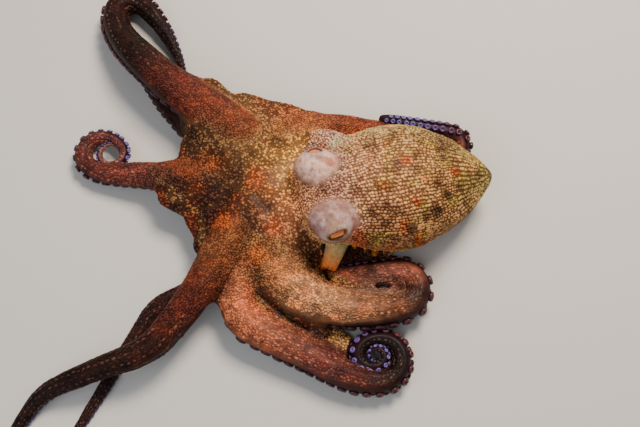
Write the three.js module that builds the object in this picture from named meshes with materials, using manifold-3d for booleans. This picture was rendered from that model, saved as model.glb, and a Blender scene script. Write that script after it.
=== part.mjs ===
// Common octopus resting on the sea bed, still, in one pose.
// Millimetres, +Z up, the floor at z = 0 and the mouth at the origin.
// +X runs back along the animal to the tip of the mantle, +Y is its right side.
import * as THREE from 'three';
import { mergeVertices } from 'three/addons/utils/BufferGeometryUtils.js';
import Module from 'manifold-3d';

const wasm = await Module();
wasm.setup();

// ---- driving sizes -------------------------------------------------------

const gap = 0.3;                    // left between a piece and the neighbour that cuts it
const stepAlong = 1;                // the arms are walked in steps this long
const settle = 12;                  // bends, lifts and rolls ease into each other over this length
const lieDepth = 0.85;              // height of an arm's middle over its lift, in radii

// An arm is walked from its root in strokes: [length, turn to the left in degrees,
// lift of the underside off the floor at the end, roll at the end, tightening].
// Roll 0 keeps the suckers underneath, +90 turns them to the left, -90 to the right.
// Tightening is how many times sharper the stroke bends at its end than at its start.
// Taper and belly shape the thinning: a belly over 1 keeps an arm thick to past its middle.
// Lengths are where one node ends and the next begins, the first within the web.
const arms = {
  arm_right_1: {
    start: [-20, 4], heading: 166, lift: 14, roll: 0,
    baseRadius: 15, tipRadius: 1.5, taper: 0.85, belly: 1,
    lengths: [30, 88, 134, 182],
    strokes: [
      [30, 0, 12, 5], [35, 6, 6, 10], [33, 2, 2, 25], [17, -18, 1, 55],
      [50, -186, 3, 85], [12, -20, 6, 87], [56, -340, 14, 90, 1.5],
    ],
  },
  arm_right_2: {
    start: [-22, 30], heading: 140, lift: 5, roll: 25,
    baseRadius: 13, tipRadius: 1.6, taper: 0.55, belly: 1,
    lengths: [24, 72, 118],
    strokes: [
      [30, -4, 1, 30], [45, -6, 0, 35], [45, -12, 0, 30], [38, 6, 0, 0],
    ],
  },
  arm_right_3: {
    start: [-14, 49], heading: 136, lift: 15, roll: 15,
    baseRadius: 17.5, tipRadius: 2, taper: 0.9, belly: 2.2,
    lengths: [34, 92, 158, 186, 214],
    strokes: [
      [35, 11, 15, 20], [75, -14, 15, 50], [35, -14, 6, 65], [23, -24, 2, 75],
      [34, -140, 2, 85], [24, -12, 2, 70], [28, -8, 2, 50], [24, -4, 2, 20],
    ],
  },
  arm_right_4: {
    start: [18, 47], heading: 28, lift: 11, roll: 0,
    baseRadius: 14.5, tipRadius: 3.8, taper: 0.7, belly: 1,
    lengths: [30, 84, 138, 166],
    strokes: [
      [30, -18, 8, 0], [35, -15, 3, 0], [45, -12, 1, 0], [30, -4, 2, -40],
      [25, 188, 9, -160], [62, 5, 17, -194],
    ],
  },
  arm_left_1: {
    start: [-15, -35], heading: -117, lift: 16.5, roll: 0,
    baseRadius: 15.5, tipRadius: 1.5, taper: 0.75, belly: 1,
    lengths: [34, 98, 160, 222],
    strokes: [
      [62, -8, 18.5, -10], [28, -4, 19, -15], [24, -31, 17.5, -15],
      [30, -2, 13, 0], [32, 4, 6, 10], [24, 34, 1, 20], [25, 8, 0, 20],
      [42, -150, 1, 30, 2],
    ],
  },
  arm_left_2: {
    start: [-12, -42], heading: -111, lift: 0, roll: 0,
    baseRadius: 9.5, tipRadius: 1.4, taper: 0.7, belly: 1,
    lengths: [30, 96, 168],
    strokes: [
      [30, -44, 0, 0], [35, 2, 0, 0], [25, 34, 0, 0], [50, 2, 0, 10],
      [43, -4, 0, 20], [40, 60, 0, 20],
    ],
  },
  arm_left_3: {
    start: [-6, -42], heading: -104, lift: 3, roll: -15,
    baseRadius: 18.5, tipRadius: 0.8, taper: 0.7, belly: 1,
    lengths: [30, 86, 150, 208, 252, 280],
    strokes: [
      [40, 14, 1, -30], [25, 63, 1, -40], [68, -2, 1, -50], [32, 28, 1, -70],
      [28, 92, 2, -90, 1.2], [26, 92, 3, -100], [23, 88, 6, -105, 4],
      [18, 92, 9, -110, 0.6], [13, 90, 10, -110, 1.5], [10, 90, 11, -110],
      [18, 240, 11, -110],
    ],
  },
  arm_left_4: {
    start: [12, -45], heading: -76, lift: 8, roll: -10,
    baseRadius: 17.5, tipRadius: 1.6, taper: 0.8, belly: 2,
    lengths: [30, 84, 128, 160],
    strokes: [
      [28, 30, 8, -20], [26, 24, 5, -35], [27, 17, 3, -50], [39, 18, 2, -65],
      [46, 168, 2, -90], [24, 3, 2, -85], [24, -6, 1, -70], [16, -24, 0, -50],
    ],
  },
};
const armSides = 8;
const sideReach = 1.04;             // the corners stand out so that the sides keep the girth
const oralFlat = 0.9;               // the suckered side stands this far out, in radii
const stationPitch = 1.45;          // ring spacing along an arm, in radii
const stationTurn = 26;             // and no ring turns more than this many degrees

const mantle = {
  neck: [58, -6], tip: [182.5, 13.8],
  halfWidth: 49, heightUp: 35.5, heightDown: 37,
  middleZ: 35.5, tipZ: 30, neckZ: 38,
  widest: 0.4, frontBlunt: 0.3, rearBlunt: 0.7,
};

const head = {
  centre: [56, -10, 34], half: [25, 33, 25], turn: 14,
  turretHalf: [17, 14, 16.5],
  neck: [70, -3, 36], neckHalf: [26, 38, 27],
};

const eyes = {
  right: { turret: [47, 7.5, 54], aim: 100, rise: 52, forward: 6 },
  left: { turret: [59, -33.5, 54], aim: -76, rise: 30, forward: 7.2 },
  radius: 9, up: 2.2,
};

const funnel = {
  from: [64, -38, 24], to: [57, -57, 24], sag: 3,
  rootRadius: 9, mouthRadius: 7, bore: 3.6, boreDepth: 16,
};

// The web and the crown of the arms: the distance from the middle to the free
// edge of the web, and the height of that edge, all the way round.
const web = {
  centre: [-8, -2], padRadius: 22, domeHeight: 47, edgeThickness: 5, slope: 1.7,
  edge: [
    [0, 42, 40], [24, 52, 38], [36, 74, 34], [48, 90, 28], [60, 88, 25], [78, 86, 24], [97, 91, 25],
    [108, 108, 27], [118, 116, 30], [125, 98, 28], [134, 72, 25], [150, 64, 25], [166, 78, 28],
    [181, 68, 26], [200, 50, 24], [218, 50, 24], [232, 58, 26], [244, 84, 30],
    [256, 86, 26], [266, 84, 22], [278, 96, 20], [289, 112, 18], [299, 122, 17],
    [309, 100, 19], [318, 80, 22], [334, 56, 32],
  ],
};

const skinTones = {
  mantle: 0xa9805a, head: 0xb98f7c, web: 0x9a5a3c, funnel: 0xc9b89a, eye: 0xd98432,
  arm: 0x8a4636, coil: 0x5c2c34,
};

// ---- arms ----------------------------------------------------------------

const radians = THREE.MathUtils.degToRad;

// Running average over `settle` samples, the ends held.
function eased(values) {
  const half = settle / 2;
  const last = values.length - 1;
  return values.map((_, i) => {
    let sum = 0;
    for (let k = 0; k < settle; k += 1) {
      sum += values[Math.min(last, Math.max(0, i - half + k))];
    }
    return sum / settle;
  });
}

// Walks one arm and returns a station for every step along it.
function walk(arm) {
  let bend = [];
  let lift = [];
  let roll = [];
  let liftBefore = arm.lift;
  let rollBefore = arm.roll;
  for (const [length, turn, liftAfter, rollAfter, tighten = 1] of arm.strokes) {
    const count = Math.round(length / stepAlong);
    const share = Array.from({ length: count }, (_, i) => tighten ** (i / count));
    const whole = share.reduce((a, b) => a + b, 0);
    for (let i = 0; i < count; i += 1) {
      const f = i / count;
      bend.push((radians(turn) * share[i]) / whole);
      lift.push(liftBefore + (liftAfter - liftBefore) * f);
      roll.push(radians(rollBefore + (rollAfter - rollBefore) * f));
    }
    liftBefore = liftAfter;
    rollBefore = rollAfter;
  }
  bend = eased(bend);
  lift = eased(lift);
  roll = eased(roll);
  const last = bend.length - 1;
  let heading = radians(arm.heading);
  let [x, y] = arm.start;
  const stations = [];
  for (let i = 0; i <= last; i += 1) {
    const thinning = (1 - (i / last) ** arm.belly) ** arm.taper;
    const radius = arm.tipRadius + (arm.baseRadius - arm.tipRadius) * thinning;
    const middle = new THREE.Vector3(x, y, lift[i] + lieDepth * radius);
    stations.push({ middle, heading, bend: bend[i], roll: roll[i], radius });
    x += Math.cos(heading) * stepAlong;
    y += Math.sin(heading) * stepAlong;
    heading += bend[i];
  }
  return stations;
}

// Every so many steps a ring: closer where the arm is thin or bends hard.
function rings(stations, from, to) {
  const picked = [from];
  let run = 0;
  let turned = 0;
  for (let i = from + 1; i < to; i += 1) {
    run += stepAlong;
    turned += Math.abs(stations[i].bend);
    const far = run >= stationPitch * stations[i].radius;
    if ((far || turned >= radians(stationTurn)) && to - i > 1) {
      picked.push(i);
      run = 0;
      turned = 0;
    }
  }
  picked.push(to);
  return picked;
}

// One length of an arm: a cylinder bent along the walk, flatter on the suckered side.
function armLength(stations, from, to, grow) {
  const picked = rings(stations, from, to);
  const spans = picked.length - 1;
  const tube = new THREE.CylinderGeometry(1, 1, 1, armSides, spans, false, Math.PI / armSides);
  const place = tube.attributes.position;
  for (let i = 0; i < place.count; i += 1) {
    const ring = Math.round((place.getY(i) + 0.5) * spans);
    const at = picked[ring];
    const station = stations[at];
    const after = stations[Math.min(stations.length - 1, at + 1)].middle;
    const before = stations[Math.max(0, at - 1)].middle;
    const along = after.clone().sub(before).normalize();
    const left = new THREE.Vector3(-Math.sin(station.heading), Math.cos(station.heading), 0);
    const up = along.clone().cross(left);
    const back = up.clone().multiplyScalar(Math.cos(station.roll));
    back.addScaledVector(left, -Math.sin(station.roll));
    const side = back.clone().cross(along);
    const outward = -place.getZ(i);
    const reach = station.radius * sideReach + grow;
    const point = station.middle.clone();
    point.addScaledVector(side, place.getX(i) * reach);
    point.addScaledVector(back, outward * reach * (outward < 0 ? oralFlat : 1));
    if (ring === spans && to < stations.length - 1) {
      point.addScaledVector(along, -gap);
    }
    place.setXYZ(i, point.x, point.y, Math.max(-grow, point.z));
  }
  return tube;
}

// ---- body ----------------------------------------------------------------

// The mantle: a bag, widest before its middle, its underside slack on the floor.
function mantleShape(grow) {
  const ball = new THREE.SphereGeometry(1, 24, 16);
  const place = ball.attributes.position;
  const from = new THREE.Vector2(...mantle.neck);
  const axis = new THREE.Vector2(...mantle.tip).sub(from);
  const across = new THREE.Vector2(-axis.y, axis.x).normalize();
  const peak = Math.log(0.5) / Math.log(mantle.widest);
  for (let i = 0; i < place.count; i += 1) {
    const t = (1 - place.getY(i)) / 2;
    const ring = Math.hypot(place.getX(i), place.getZ(i)) || 1;
    const swing = Math.sin(Math.PI * t ** peak);
    const blunt = t < mantle.widest ? mantle.frontBlunt : mantle.rearBlunt;
    const girth = swing > 1e-6 ? swing ** blunt : 0;
    const wide = (-place.getX(i) / ring) * girth * (mantle.halfWidth + grow);
    const rise = -place.getZ(i) / ring;
    const tall = rise > 0 ? mantle.heightUp : mantle.heightDown;
    const ends = t < mantle.widest ? mantle.neckZ : mantle.tipZ;
    const middleZ = ends + (mantle.middleZ - ends) * swing ** 0.8;
    const z = middleZ + rise * girth * (tall + grow);
    const growth = 1 + (2 * grow) / axis.length();
    const along = 0.5 + (t - 0.5) * growth;
    const x = from.x + axis.x * along + across.x * wide;
    const y = from.y + axis.y * along + across.y * wide;
    place.setXYZ(i, x, y, Math.max(-grow, z));
  }
  return ball;
}

function ellipsoid(centre, half, turn, columns, rows) {
  const ball = new THREE.SphereGeometry(1, columns, rows);
  ball.rotateX(Math.PI / 2);
  ball.scale(...half);
  ball.rotateZ(radians(turn));
  ball.translate(...centre);
  return ball;
}

// The direction an eye looks in.
function gaze(eye) {
  const flat = Math.cos(radians(eye.rise));
  return new THREE.Vector3(
    Math.cos(radians(eye.aim)) * flat,
    Math.sin(radians(eye.aim)) * flat,
    Math.sin(radians(eye.rise)),
  );
}

function eyeCentre(eye) {
  const centre = new THREE.Vector3(...eye.turret);
  centre.addScaledVector(gaze(eye), eye.forward);
  centre.z += eyes.up;
  return centre;
}

// The eyeball shows as a shallow cap in the side of its turret.
function eyeShape(eye, grow) {
  const radius = eyes.radius + grow;
  return ellipsoid(eyeCentre(eye).toArray(), [radius, radius, radius], 0, 14, 8);
}

function headShape(grow) {
  const larger = (half) => half.map((value) => value + grow);
  const turret = larger(head.turretHalf);
  const pieces = [
    ellipsoid(head.centre, larger(head.half), head.turn, 16, 10),
    ellipsoid(head.neck, larger(head.neckHalf), head.turn, 16, 10),
    ellipsoid(eyes.right.turret, turret, 0, 12, 8),
    ellipsoid(eyes.left.turret, turret, 0, 12, 8),
  ];
  return pieces.map(solid).reduce((whole, piece) => whole.add(piece));
}

// The funnel: a short muscular spout with a bore, out from under the mantle's edge.
function funnelShape(grow) {
  const from = new THREE.Vector3(...funnel.from);
  const to = new THREE.Vector3(...funnel.to);
  const length = from.distanceTo(to);
  const bore = Math.max(0.5, funnel.bore - grow);
  const lip = (funnel.mouthRadius + funnel.bore) / 2;
  const profile = [
    [0, 0], [funnel.rootRadius * 0.8 + grow, 0], [funnel.rootRadius + grow, length * 0.2],
    [funnel.rootRadius * 0.9 + grow, length * 0.5], [funnel.mouthRadius + grow, length * 0.9],
    [lip, length + grow], [bore, length * 0.96], [bore, length - funnel.boreDepth + grow],
    [0, length - funnel.boreDepth + grow],
  ];
  const spout = new THREE.LatheGeometry(profile.map(([r, h]) => new THREE.Vector2(r, h)), 14);
  const aim = to.clone().sub(from).normalize();
  spout.applyQuaternion(new THREE.Quaternion().setFromUnitVectors(new THREE.Vector3(0, 1, 0), aim));
  spout.translate(...from.toArray());
  const place = spout.attributes.position;
  for (let i = 0; i < place.count; i += 1) {
    const point = new THREE.Vector3().fromBufferAttribute(place, i);
    const t = point.clone().sub(from).dot(aim) / length;
    place.setZ(i, point.z + funnel.sag * Math.sin(Math.PI * Math.min(1, Math.max(0, t))));
  }
  return spout;
}

// Reads the web's edge at an angle round it, with an even curve through the entries.
function webEdge(angle) {
  const turn = ((angle % 360) + 360) % 360;
  const count = web.edge.length;
  let k = 0;
  while (k < count - 1 && web.edge[k + 1][0] <= turn) {
    k += 1;
  }
  const here = web.edge[k];
  const next = web.edge[(k + 1) % count];
  const span = ((next[0] - here[0]) + 360) % 360;
  const f = (turn - here[0]) / span;
  const soft = f * f * (3 - 2 * f);
  return {
    reach: here[1] + (next[1] - here[1]) * soft,
    height: here[2] + (next[2] - here[2]) * soft,
  };
}

// The web: a ball pressed to a low dome with a scalloped rim, lifted off the floor
// everywhere but under the mouth.
function webShape() {
  const ball = new THREE.SphereGeometry(1, 46, 8);
  ball.rotateX(Math.PI / 2);
  const place = ball.attributes.position;
  for (let i = 0; i < place.count; i += 1) {
    const x = place.getX(i);
    const y = place.getY(i);
    const z = place.getZ(i);
    const out = Math.hypot(x, y);
    const angle = Math.atan2(y, x);
    const { reach, height } = webEdge(THREE.MathUtils.radToDeg(angle));
    const f = out < 0.999 ? out * (0.55 + 0.45 * out) : 1;
    const middle = height - web.edgeThickness / 2;
    const above = web.domeHeight + (height - web.domeHeight) * f ** web.slope;
    const hollow = Math.min(1, Math.max(0, (f * reach - web.padRadius) / (reach - web.padRadius)));
    const below = (height - web.edgeThickness) * hollow ** 0.7;
    const level = Math.abs(z) < 0.05 ? middle : (z > 0 ? above : below);
    place.setXYZ(
      i,
      web.centre[0] + Math.cos(angle) * reach * f,
      web.centre[1] + Math.sin(angle) * reach * f,
      level,
    );
  }
  return ball;
}

// ---- putting it together ---------------------------------------------------

function solid(geometry) {
  const bare = new THREE.BufferGeometry();
  bare.setAttribute('position', geometry.attributes.position.clone());
  bare.setIndex(geometry.index.clone());
  const welded = mergeVertices(bare, 1e-4);
  const corners = welded.index.array;
  const whole = [];
  for (let i = 0; i < corners.length; i += 3) {
    const [a, b, c] = corners.slice(i, i + 3);
    if (a !== b && b !== c && c !== a) {
      whole.push(a, b, c);
    }
  }
  const mesh = new wasm.Mesh({
    numProp: 3,
    vertProperties: new Float32Array(welded.attributes.position.array),
    triVerts: new Uint32Array(whole),
  });
  return new wasm.Manifold(mesh);
}

const group = new THREE.Group();
const placed = [];

const overlaps = (a, b) => {
  const p = a.boundingBox();
  const q = b.boundingBox();
  return [0, 1, 2].every((k) => p.min[k] < q.max[k] && q.min[k] < p.max[k]);
};

// Adds a node, cut back from every grown piece placed before it.
function place(name, body, grown, colour, roughness) {
  let left = body;
  for (const earlier of placed) {
    if (overlaps(left, earlier.grown)) {
      left = left.subtract(earlier.grown);
    }
  }
  const loose = left.decompose();
  loose.sort((a, b) => b.volume() - a.volume());
  const kept = loose[0];
  placed.push({ name, grown });
  const mesh = kept.getMesh();
  const geometry = new THREE.BufferGeometry();
  geometry.setAttribute('position', new THREE.BufferAttribute(mesh.vertProperties, mesh.numProp));
  geometry.setIndex(new THREE.BufferAttribute(mesh.triVerts, 1));
  geometry.computeVertexNormals();
  const material = new THREE.MeshStandardMaterial({ color: colour, roughness, metalness: 0 });
  const node = new THREE.Mesh(geometry, material);
  node.name = name;
  group.add(node);
}

place('eye_right', solid(eyeShape(eyes.right, 0)), solid(eyeShape(eyes.right, gap)), skinTones.eye, 0.15);
place('eye_left', solid(eyeShape(eyes.left, 0)), solid(eyeShape(eyes.left, gap)), skinTones.eye, 0.15);
place('head', headShape(0), headShape(gap), skinTones.head, 0.55);
place('mantle', solid(mantleShape(0)), solid(mantleShape(gap)), skinTones.mantle, 0.6);

const letters = 'abcdef';
let crown = solid(webShape());
for (const [name, arm] of Object.entries(arms)) {
  const stations = walk(arm);
  crown = crown.add(solid(armLength(stations, 0, arm.lengths[0], 0)));
  const cuts = [...arm.lengths, stations.length - 1];
  for (let k = 0; k < cuts.length - 1; k += 1) {
    const body = solid(armLength(stations, cuts[k], cuts[k + 1], 0));
    const grown = solid(armLength(stations, cuts[k], cuts[k + 1], gap));
    const colour = k < 2 ? skinTones.arm : skinTones.coil;
    place(`${name}_${letters[k]}`, body, grown, colour, 0.5);
  }
}

place('funnel', solid(funnelShape(0)), solid(funnelShape(gap)), skinTones.funnel, 0.5);
place('web', crown, crown, skinTones.web, 0.6);

export default group;
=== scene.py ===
import math
import time

import bpy
import numpy as np
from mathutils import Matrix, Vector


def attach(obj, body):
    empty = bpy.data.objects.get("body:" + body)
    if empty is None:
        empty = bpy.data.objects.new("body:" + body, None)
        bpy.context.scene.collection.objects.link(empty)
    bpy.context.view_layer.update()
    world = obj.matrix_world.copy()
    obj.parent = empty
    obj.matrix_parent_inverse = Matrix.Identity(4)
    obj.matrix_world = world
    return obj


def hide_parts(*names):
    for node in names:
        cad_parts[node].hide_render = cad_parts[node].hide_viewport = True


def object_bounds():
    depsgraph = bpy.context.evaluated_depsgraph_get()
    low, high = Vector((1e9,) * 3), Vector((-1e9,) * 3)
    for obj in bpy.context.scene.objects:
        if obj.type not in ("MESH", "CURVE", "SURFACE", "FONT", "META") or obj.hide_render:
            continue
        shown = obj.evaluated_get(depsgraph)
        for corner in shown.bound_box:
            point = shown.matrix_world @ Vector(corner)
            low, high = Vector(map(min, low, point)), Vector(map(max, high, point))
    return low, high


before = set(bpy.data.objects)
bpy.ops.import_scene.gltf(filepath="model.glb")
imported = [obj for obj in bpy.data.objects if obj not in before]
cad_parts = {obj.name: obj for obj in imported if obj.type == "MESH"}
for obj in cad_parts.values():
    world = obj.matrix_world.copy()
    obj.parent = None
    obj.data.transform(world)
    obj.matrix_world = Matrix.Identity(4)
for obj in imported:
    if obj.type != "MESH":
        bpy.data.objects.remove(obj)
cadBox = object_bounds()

import openvdb
from mathutils import Vector
from mathutils.kdtree import KDTree

# Common octopus at rest: one skin over the whole animal, a coat of granules and pale
# dots on it, suckers in two rows along each arm, and a pair of eyes. Sizes are in
# millimetres until a mesh is made, then metres.
startedAt = time.time()
mm = 0.001


def report(stage):
    print(f"octopus: {stage} ({time.time() - startedAt:.0f} s)", flush=True)


def hexColor(code):
    channels = [int(code[i:i + 2], 16) / 255 for i in (0, 2, 4)]
    linear = [c / 12.92 if c <= 0.04045 else ((c + 0.055) / 1.055) ** 2.4 for c in channels]
    return (*linear, 1.0)


# camera, floor and light
studio = {
    "elevation": 70, "lens": 45, "sensor": 36, "distance": 640, "aim": (49.6, -7.2, 0),
    "floorColor": "cfcac2", "floorSize": 6.0, "skyColor": "dfe4ea", "skyStrength": 0.34,
    "floorRough": 0.9, "lampAim": (0.04, 0, 0.02),
    "key": dict(spot=(0.32, 0.5, 0.95), size=0.4, power=19, color="fff2e2"),
    "fill": dict(spot=(-0.45, -0.55, 0.8), size=0.9, power=5, color="e8f0ff"),
}


def buildStudio(p):
    scene = bpy.context.scene
    tilt = math.radians(p["elevation"])
    camera = bpy.data.objects.new("camera", bpy.data.cameras.new("camera"))
    camera.data.lens = p["lens"]
    camera.data.sensor_width = p["sensor"]
    camera.location = (Vector(p["aim"]) + Vector((0, -math.cos(tilt), math.sin(tilt))) * p["distance"]) * mm
    camera.rotation_euler = (math.pi / 2 - tilt, 0, 0)
    scene.collection.objects.link(camera)
    scene.camera = camera

    half = p["floorSize"] / 2
    mesh = bpy.data.meshes.new("floor")
    corners = [(-half, -half, 0), (half, -half, 0), (half, half, 0), (-half, half, 0)]
    mesh.from_pydata(corners, [], [(0, 1, 2, 3)])
    floor = bpy.data.objects.new("floor", mesh)
    scene.collection.objects.link(floor)
    paper = bpy.data.materials.new("palePaper")
    paper.use_nodes = True
    surface = paper.node_tree.nodes["Principled BSDF"].inputs
    surface["Base Color"].default_value = hexColor(p["floorColor"])
    surface["Roughness"].default_value = p["floorRough"]
    mesh.materials.append(paper)

    for name in ("key", "fill"):
        lamp = bpy.data.lights.new(name, "AREA")
        lamp.size = p[name]["size"]
        lamp.energy = p[name]["power"]
        lamp.color = hexColor(p[name]["color"])[:3]
        holder = bpy.data.objects.new(name, lamp)
        holder.location = p[name]["spot"]
        toward = Vector(p["lampAim"]) - holder.location
        holder.rotation_euler = toward.to_track_quat("-Z", "Y").to_euler()
        scene.collection.objects.link(holder)

    world = bpy.data.worlds.new("softRoom")
    world.use_nodes = True
    sky = world.node_tree.nodes["Background"].inputs
    sky["Color"].default_value = hexColor(p["skyColor"])
    sky["Strength"].default_value = p["skyStrength"]
    scene.world = world


buildStudio(studio)
report("studio")

# An arm is walked from its root in strokes: length, turn to the left in degrees, lift of
# the underside off the floor at the end, roll at the end, and how much sharper the bend
# is at the stroke's end. Roll 0 keeps the suckers underneath, +90 turns them to the left.
arms = {
    "right1": dict(start=(-20, 4), heading=166, lift=14, roll=0, base=15, tip=1.5, taper=0.85, strokes=[
        (30, 0, 12, 5), (35, 6, 6, 10), (33, 2, 2, 25), (17, -18, 1, 55), (50, -186, 3, 85),
        (12, -20, 6, 87), (56, -340, 14, 90, 1.5)]),
    "right2": dict(start=(-22, 30), heading=140, lift=5, roll=25,
        base=13, tip=1.6, taper=0.55, strokes=[
        (30, -4, 1, 30), (45, -6, 0, 35), (45, -12, 0, 30), (38, 6, 0, 0)]),
    "right3": dict(start=(-14, 49), heading=136, lift=15, roll=15,
        base=17.5, tip=2, taper=0.9, belly=2.2, strokes=[
        (35, 11, 15, 20), (75, -14, 15, 50), (35, -14, 6, 65), (23, -24, 2, 75),
        (34, -140, 2, 85), (24, -12, 2, 70), (28, -8, 2, 50), (24, -4, 2, 20)]),
    "right4": dict(start=(18, 47), heading=28, lift=11, roll=0, base=14.5, tip=3.8, taper=0.7, strokes=[
        (30, -18, 8, 0), (35, -15, 3, 0), (45, -12, 1, 0), (30, -4, 2, -40),
        (25, 188, 9, -160), (62, 5, 17, -194)]),
    "left1": dict(start=(-15, -35), heading=-117, lift=16.5, roll=0,
        base=15.5, tip=1.5, taper=0.75, strokes=[
        (62, -8, 18.5, -10), (28, -4, 19, -15), (24, -31, 17.5, -15), (30, -2, 13, 0),
        (32, 4, 6, 10), (24, 34, 1, 20), (25, 8, 0, 20), (42, -150, 1, 30, 2)]),
    "left2": dict(start=(-12, -42), heading=-111, lift=0, roll=0,
        base=9.5, tip=1.4, taper=0.7, strokes=[
        (30, -44, 0, 0), (35, 2, 0, 0), (25, 34, 0, 0), (50, 2, 0, 10), (43, -4, 0, 20),
        (40, 60, 0, 20)]),
    "left3": dict(start=(-6, -42), heading=-104, lift=3, roll=-15,
        base=18.5, tip=0.8, taper=0.7, strokes=[
        (40, 14, 1, -30), (25, 63, 1, -40), (68, -2, 1, -50), (32, 28, 1, -70),
        (28, 92, 2, -90, 1.2), (26, 92, 3, -100), (23, 88, 6, -105, 4), (18, 92, 9, -110, 0.6),
        (13, 90, 10, -110, 1.5), (10, 90, 11, -110), (18, 240, 11, -110)]),
    "left4": dict(start=(12, -45), heading=-76, lift=8, roll=-10,
        base=17.5, tip=1.6, taper=0.8, belly=2, strokes=[
        (28, 30, 8, -20), (26, 24, 5, -35), (27, 17, 3, -50), (39, 18, 2, -65),
        (46, 168, 2, -90), (24, 3, 2, -85), (24, -6, 1, -70), (16, -24, 0, -50)]),
}
armForm = {"settle": 12, "lieDepth": 0.85, "oralDepth": 0.74, "skinGirth": 0.97}


def eased(values):
    half = armForm["settle"] // 2
    padded = np.concatenate([np.full(half, values[0]), values, np.full(half, values[-1])])
    sums = np.cumsum(np.concatenate([[0.0], padded]))
    return (sums[2 * half:2 * half + len(values)] - sums[:len(values)]) / (2 * half)


def walkArm(p):
    bend, lift, roll = [], [], []
    liftBefore, rollBefore = p["lift"], p["roll"]
    for length, turn, liftAfter, rollAfter, *rest in p["strokes"]:
        f = np.arange(length) / length
        share = (rest[0] if rest else 1.0) ** f
        bend.append(math.radians(turn) * share / share.sum())
        lift.append(liftBefore + (liftAfter - liftBefore) * f)
        roll.append(np.radians(rollBefore + (rollAfter - rollBefore) * f))
        liftBefore, rollBefore = liftAfter, rollAfter
    bend, lift, roll = (eased(np.concatenate(v)) for v in (bend, lift, roll))
    heading = math.radians(p["heading"]) + np.concatenate([[0], np.cumsum(bend[:-1])])
    x = p["start"][0] + np.concatenate([[0], np.cumsum(np.cos(heading[:-1]))])
    y = p["start"][1] + np.concatenate([[0], np.cumsum(np.sin(heading[:-1]))])
    along = np.arange(len(x), dtype=float)
    thinning = (1 - (along / along[-1]) ** p.get("belly", 1)) ** p["taper"]
    radius = p["tip"] + (p["base"] - p["tip"]) * thinning
    middle = np.stack([x, y, lift + armForm["lieDepth"] * radius], 1)
    ahead = np.gradient(middle, axis=0)
    ahead /= np.linalg.norm(ahead, axis=1)[:, None]
    left = np.stack([-np.sin(heading), np.cos(heading), np.zeros_like(heading)], 1)
    up = np.cross(ahead, left)
    oral = -up * np.cos(roll)[:, None] + left * np.sin(roll)[:, None]
    side = np.cross(oral, ahead)
    return dict(middle=middle, ahead=ahead, oral=oral, side=side, radius=radius, along=along)


routes = {name: walkArm(p) for name, p in arms.items()}

mantleForm = {
    "neck": (58, -6), "tip": (182.5, 13.8), "halfWidth": 49, "heightUp": 35.5, "heightDown": 37,
    "middleZ": 35.5, "tipZ": 30, "neckZ": 38, "widest": 0.4, "frontBlunt": 0.3, "rearBlunt": 0.7,
}
headForm = {
    "centre": (56, -10, 34), "half": (25, 33, 25), "turn": 14, "turretHalf": (17, 14, 16.5),
    "neck": (70, -3, 36), "neckHalf": (26, 38, 27),
}
# the lids open where the eye bulges out; the pupil lies some degrees below that
eyeForm = {
    "right": dict(turret=(47, 7.5, 54), aim=100, rise=52, forward=6, pupilDrop=32,
                  openWide=4.8, openTall=2.9, tilt=-8),
    "left": dict(turret=(59, -33.5, 54), aim=-76, rise=30, forward=7.2, pupilDrop=14,
                 openWide=5.6, openTall=3.1, tilt=20),
    "radius": 9, "up": 2.2, "lid": 2.2,
}
bothSides = ("right", "left")
funnelForm = {
    "start": (64, -38, 24), "end": (57, -57, 24), "sag": 3, "rootRadius": 8.6, "mouthRadius": 6.6,
    "bore": 3.6, "boreDepth": 16,
}
webForm = {
    "centre": (-8, -2), "padRadius": 22, "domeHeight": 47, "edgeThickness": 5, "slope": 1.7,
    # direction in degrees, reach, height of the free edge
    "edge": [
        (0, 42, 40), (24, 52, 38), (36, 74, 34), (48, 90, 28), (60, 88, 25), (78, 86, 24), (97, 91, 25),
        (108, 108, 27), (118, 116, 30), (125, 98, 28), (134, 72, 25), (150, 64, 25), (166, 78, 28),
        (181, 68, 26), (200, 50, 24), (218, 50, 24), (232, 58, 26), (244, 84, 30),
        (256, 86, 26), (266, 84, 22), (278, 96, 20), (289, 112, 18), (299, 122, 17),
        (309, 100, 19), (318, 80, 22), (334, 56, 32)],
}
# thin folds of web between neighbours: centre, half sizes, turn, softness of the join
membranes = {
    "leftThirdFourth": dict(centre=(52, -106, 5), half=(30, 10, 7), turn=-27, soft=9),
    "insideLeftFourth": dict(centre=(88, -71, 4), half=(24, 9, 7), turn=2, soft=9),
    # a web sheet under the mantle, filling a place of deep shade; the low blotch over it paints it dark as
    # painted shade
    "shadeSheetUnderMantle": dict(centre=(82, -38, 3), half=(27, 15, 3.5), turn=4, soft=5),
    "besideNeck": dict(centre=(57, 37, 36), half=(18, 11, 9), turn=-15, soft=8),
    "besideFunnel": dict(centre=(62, -64, 7), half=(13, 9, 8), turn=-10, soft=6),
}
hollows = {"leftFourthBend": dict(centre=(98, -69, 12), half=(6.5, 2.2, 12), turn=4)}
# lines pressed into the skin, or raised where the depth is negative; the tone paints shade along a pressed
# line and light along a raised one
creases = [
    dict(line=[(2, -79), (16, -90), (28, -99), (40, -105)], width=1.3, depth=1.5, tone=0.45),
    dict(line=[(44, -67), (45, -82), (52, -95), (66, -102)], width=1.5, depth=-0.8, tone=1.35),
]
# blunt warts along the mantle's lower edge: x, y, height, radius
papillae = [
    (91, -47, 24, 2.6), (104, -44, 24, 2.0), (84, -45, 23, 1.3), (98, -47, 23, 1.4),
    (112, -43, 22, 1.5), (122, -41, 24, 1.2), (76, -43, 24, 1.4), (129, -37, 25, 1.1)]


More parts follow.
